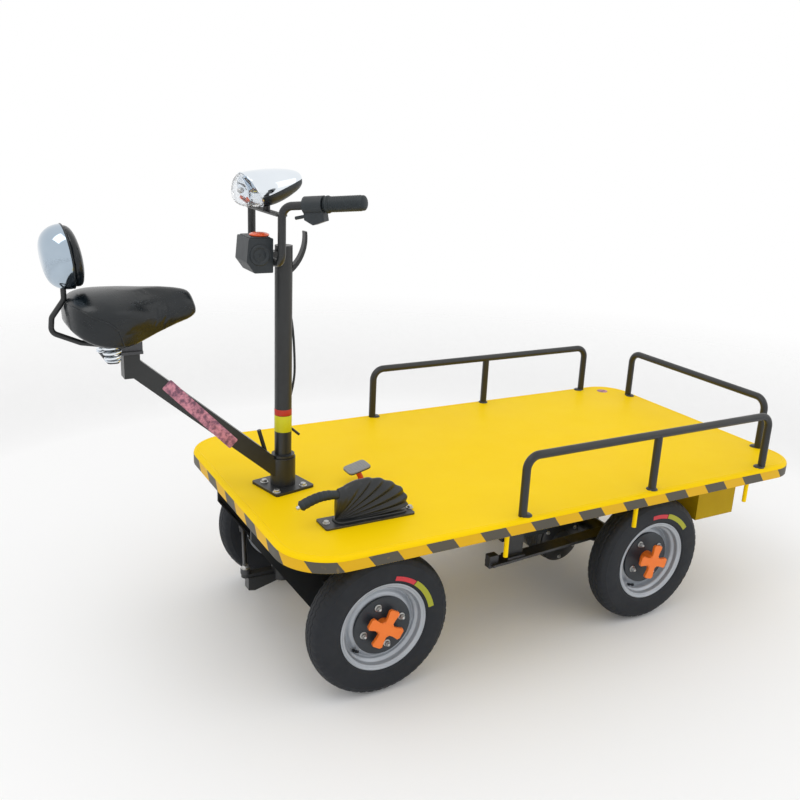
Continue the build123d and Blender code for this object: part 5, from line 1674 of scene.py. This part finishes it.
@dataclass(frozen=True)
class Pedal:
    """The foot pedal: a grey ribbed pad on an orange-red stem."""

    x: float = -0.325
    y: float = -0.072
    z: float = 0.553
    tilt: float = 14.0

    def build(self) -> None:
        """Builds the pad with its ribs, its dark holder and the stem."""
        a = math.radians(self.tilt)
        along, up = (math.cos(a), 0, math.sin(a)), (-math.sin(a), 0, math.cos(a))
        place = (self.x, self.y, self.z)
        outline = rounded_outline(0.074, 0.062, 0.014, 8)
        holder = slab(outline, [(0.0, 0.003), (0.0015, 0.0008), (0.0045, 0.0)])
        piece("pedal_holder", holder.placed(place, along, up), BLACK, "chassis", ("foot_pedal",))
        outline = rounded_outline(0.0725, 0.0605, 0.013, 8)
        pad = slab(outline, [(0.0045, 0.0), (0.0078, 0.0), (0.0090, 0.0012), (0.0092, 0.004)])
        rib = slab(rounded_outline(0.0028, 0.046, 0.0012, 4), [(0.0088, 0.0), (0.0095, 0.0), (0.0100, 0.0008)])
        ribs = scattered(rib, [(dx, 0, 0) for dx in np.arange(-0.027, 0.028, 0.009)])
        piece("pedal_pad", joined(pad, ribs).placed(place, along, up), PAD_RUBBER, "chassis")
        path = [(0.016, 0.500), (0.014, 0.522), (0.004, 0.540), (0.0, 0.5545)]
        path = smoothed([(self.x + dx, self.y, z) for dx, z in path], 3, closed=False)
        collar = turned([(0.019, 0.0), (0.019, 0.002), (0.012, 0.005)], 40).placed((self.x + 0.015, self.y, 0.507))
        piece("pedal_stem", joined(swept(path, 0.0085, 24), collar), STEM_RED, "chassis")


FRONT_LABELS = (
    ("red_label", RED_LABEL, 79.0, 53.0, 0.144, 0.158),
    ("yellow_green_label", LIME_LABEL, 52.0, 12.5, 0.144, 0.160),
)
REAR_LABELS = (
    ("red_label", RED_LABEL, 97.0, 74.0, 0.152, 0.166),
    ("yellow_green_label", LIME_LABEL, 73.0, 36.0, 0.153, 0.169),
)
WHEELS = (
    Wheel("front_near", Side.NEAR, -0.399, 0.756, 0.028, 15.0, FRONT_LABELS),
    Wheel("front_far", Side.FAR, -0.399, 0.756, 0.028, 0.0),
    Wheel("rear_near", Side.NEAR, 0.593, 0.776, 0.012, 30.0, REAR_LABELS),
    Wheel("rear_far", Side.FAR, 0.593, 0.776, 0.012, 0.0),
)


def main() -> None:
    """Builds the sub-assemblies in order."""
    logging.basicConfig(level=logging.INFO, format="%(message)s")
    chassis = (Studio(), Platform(), *WHEELS, RunningGear())
    for assembly in (*chassis, Column(), Handlebar(), Headlight(), ControlBox(), HandBrake(), Pedal(), Saddle()):
        assembly.build()


if __name__ == "__main__":
    main()
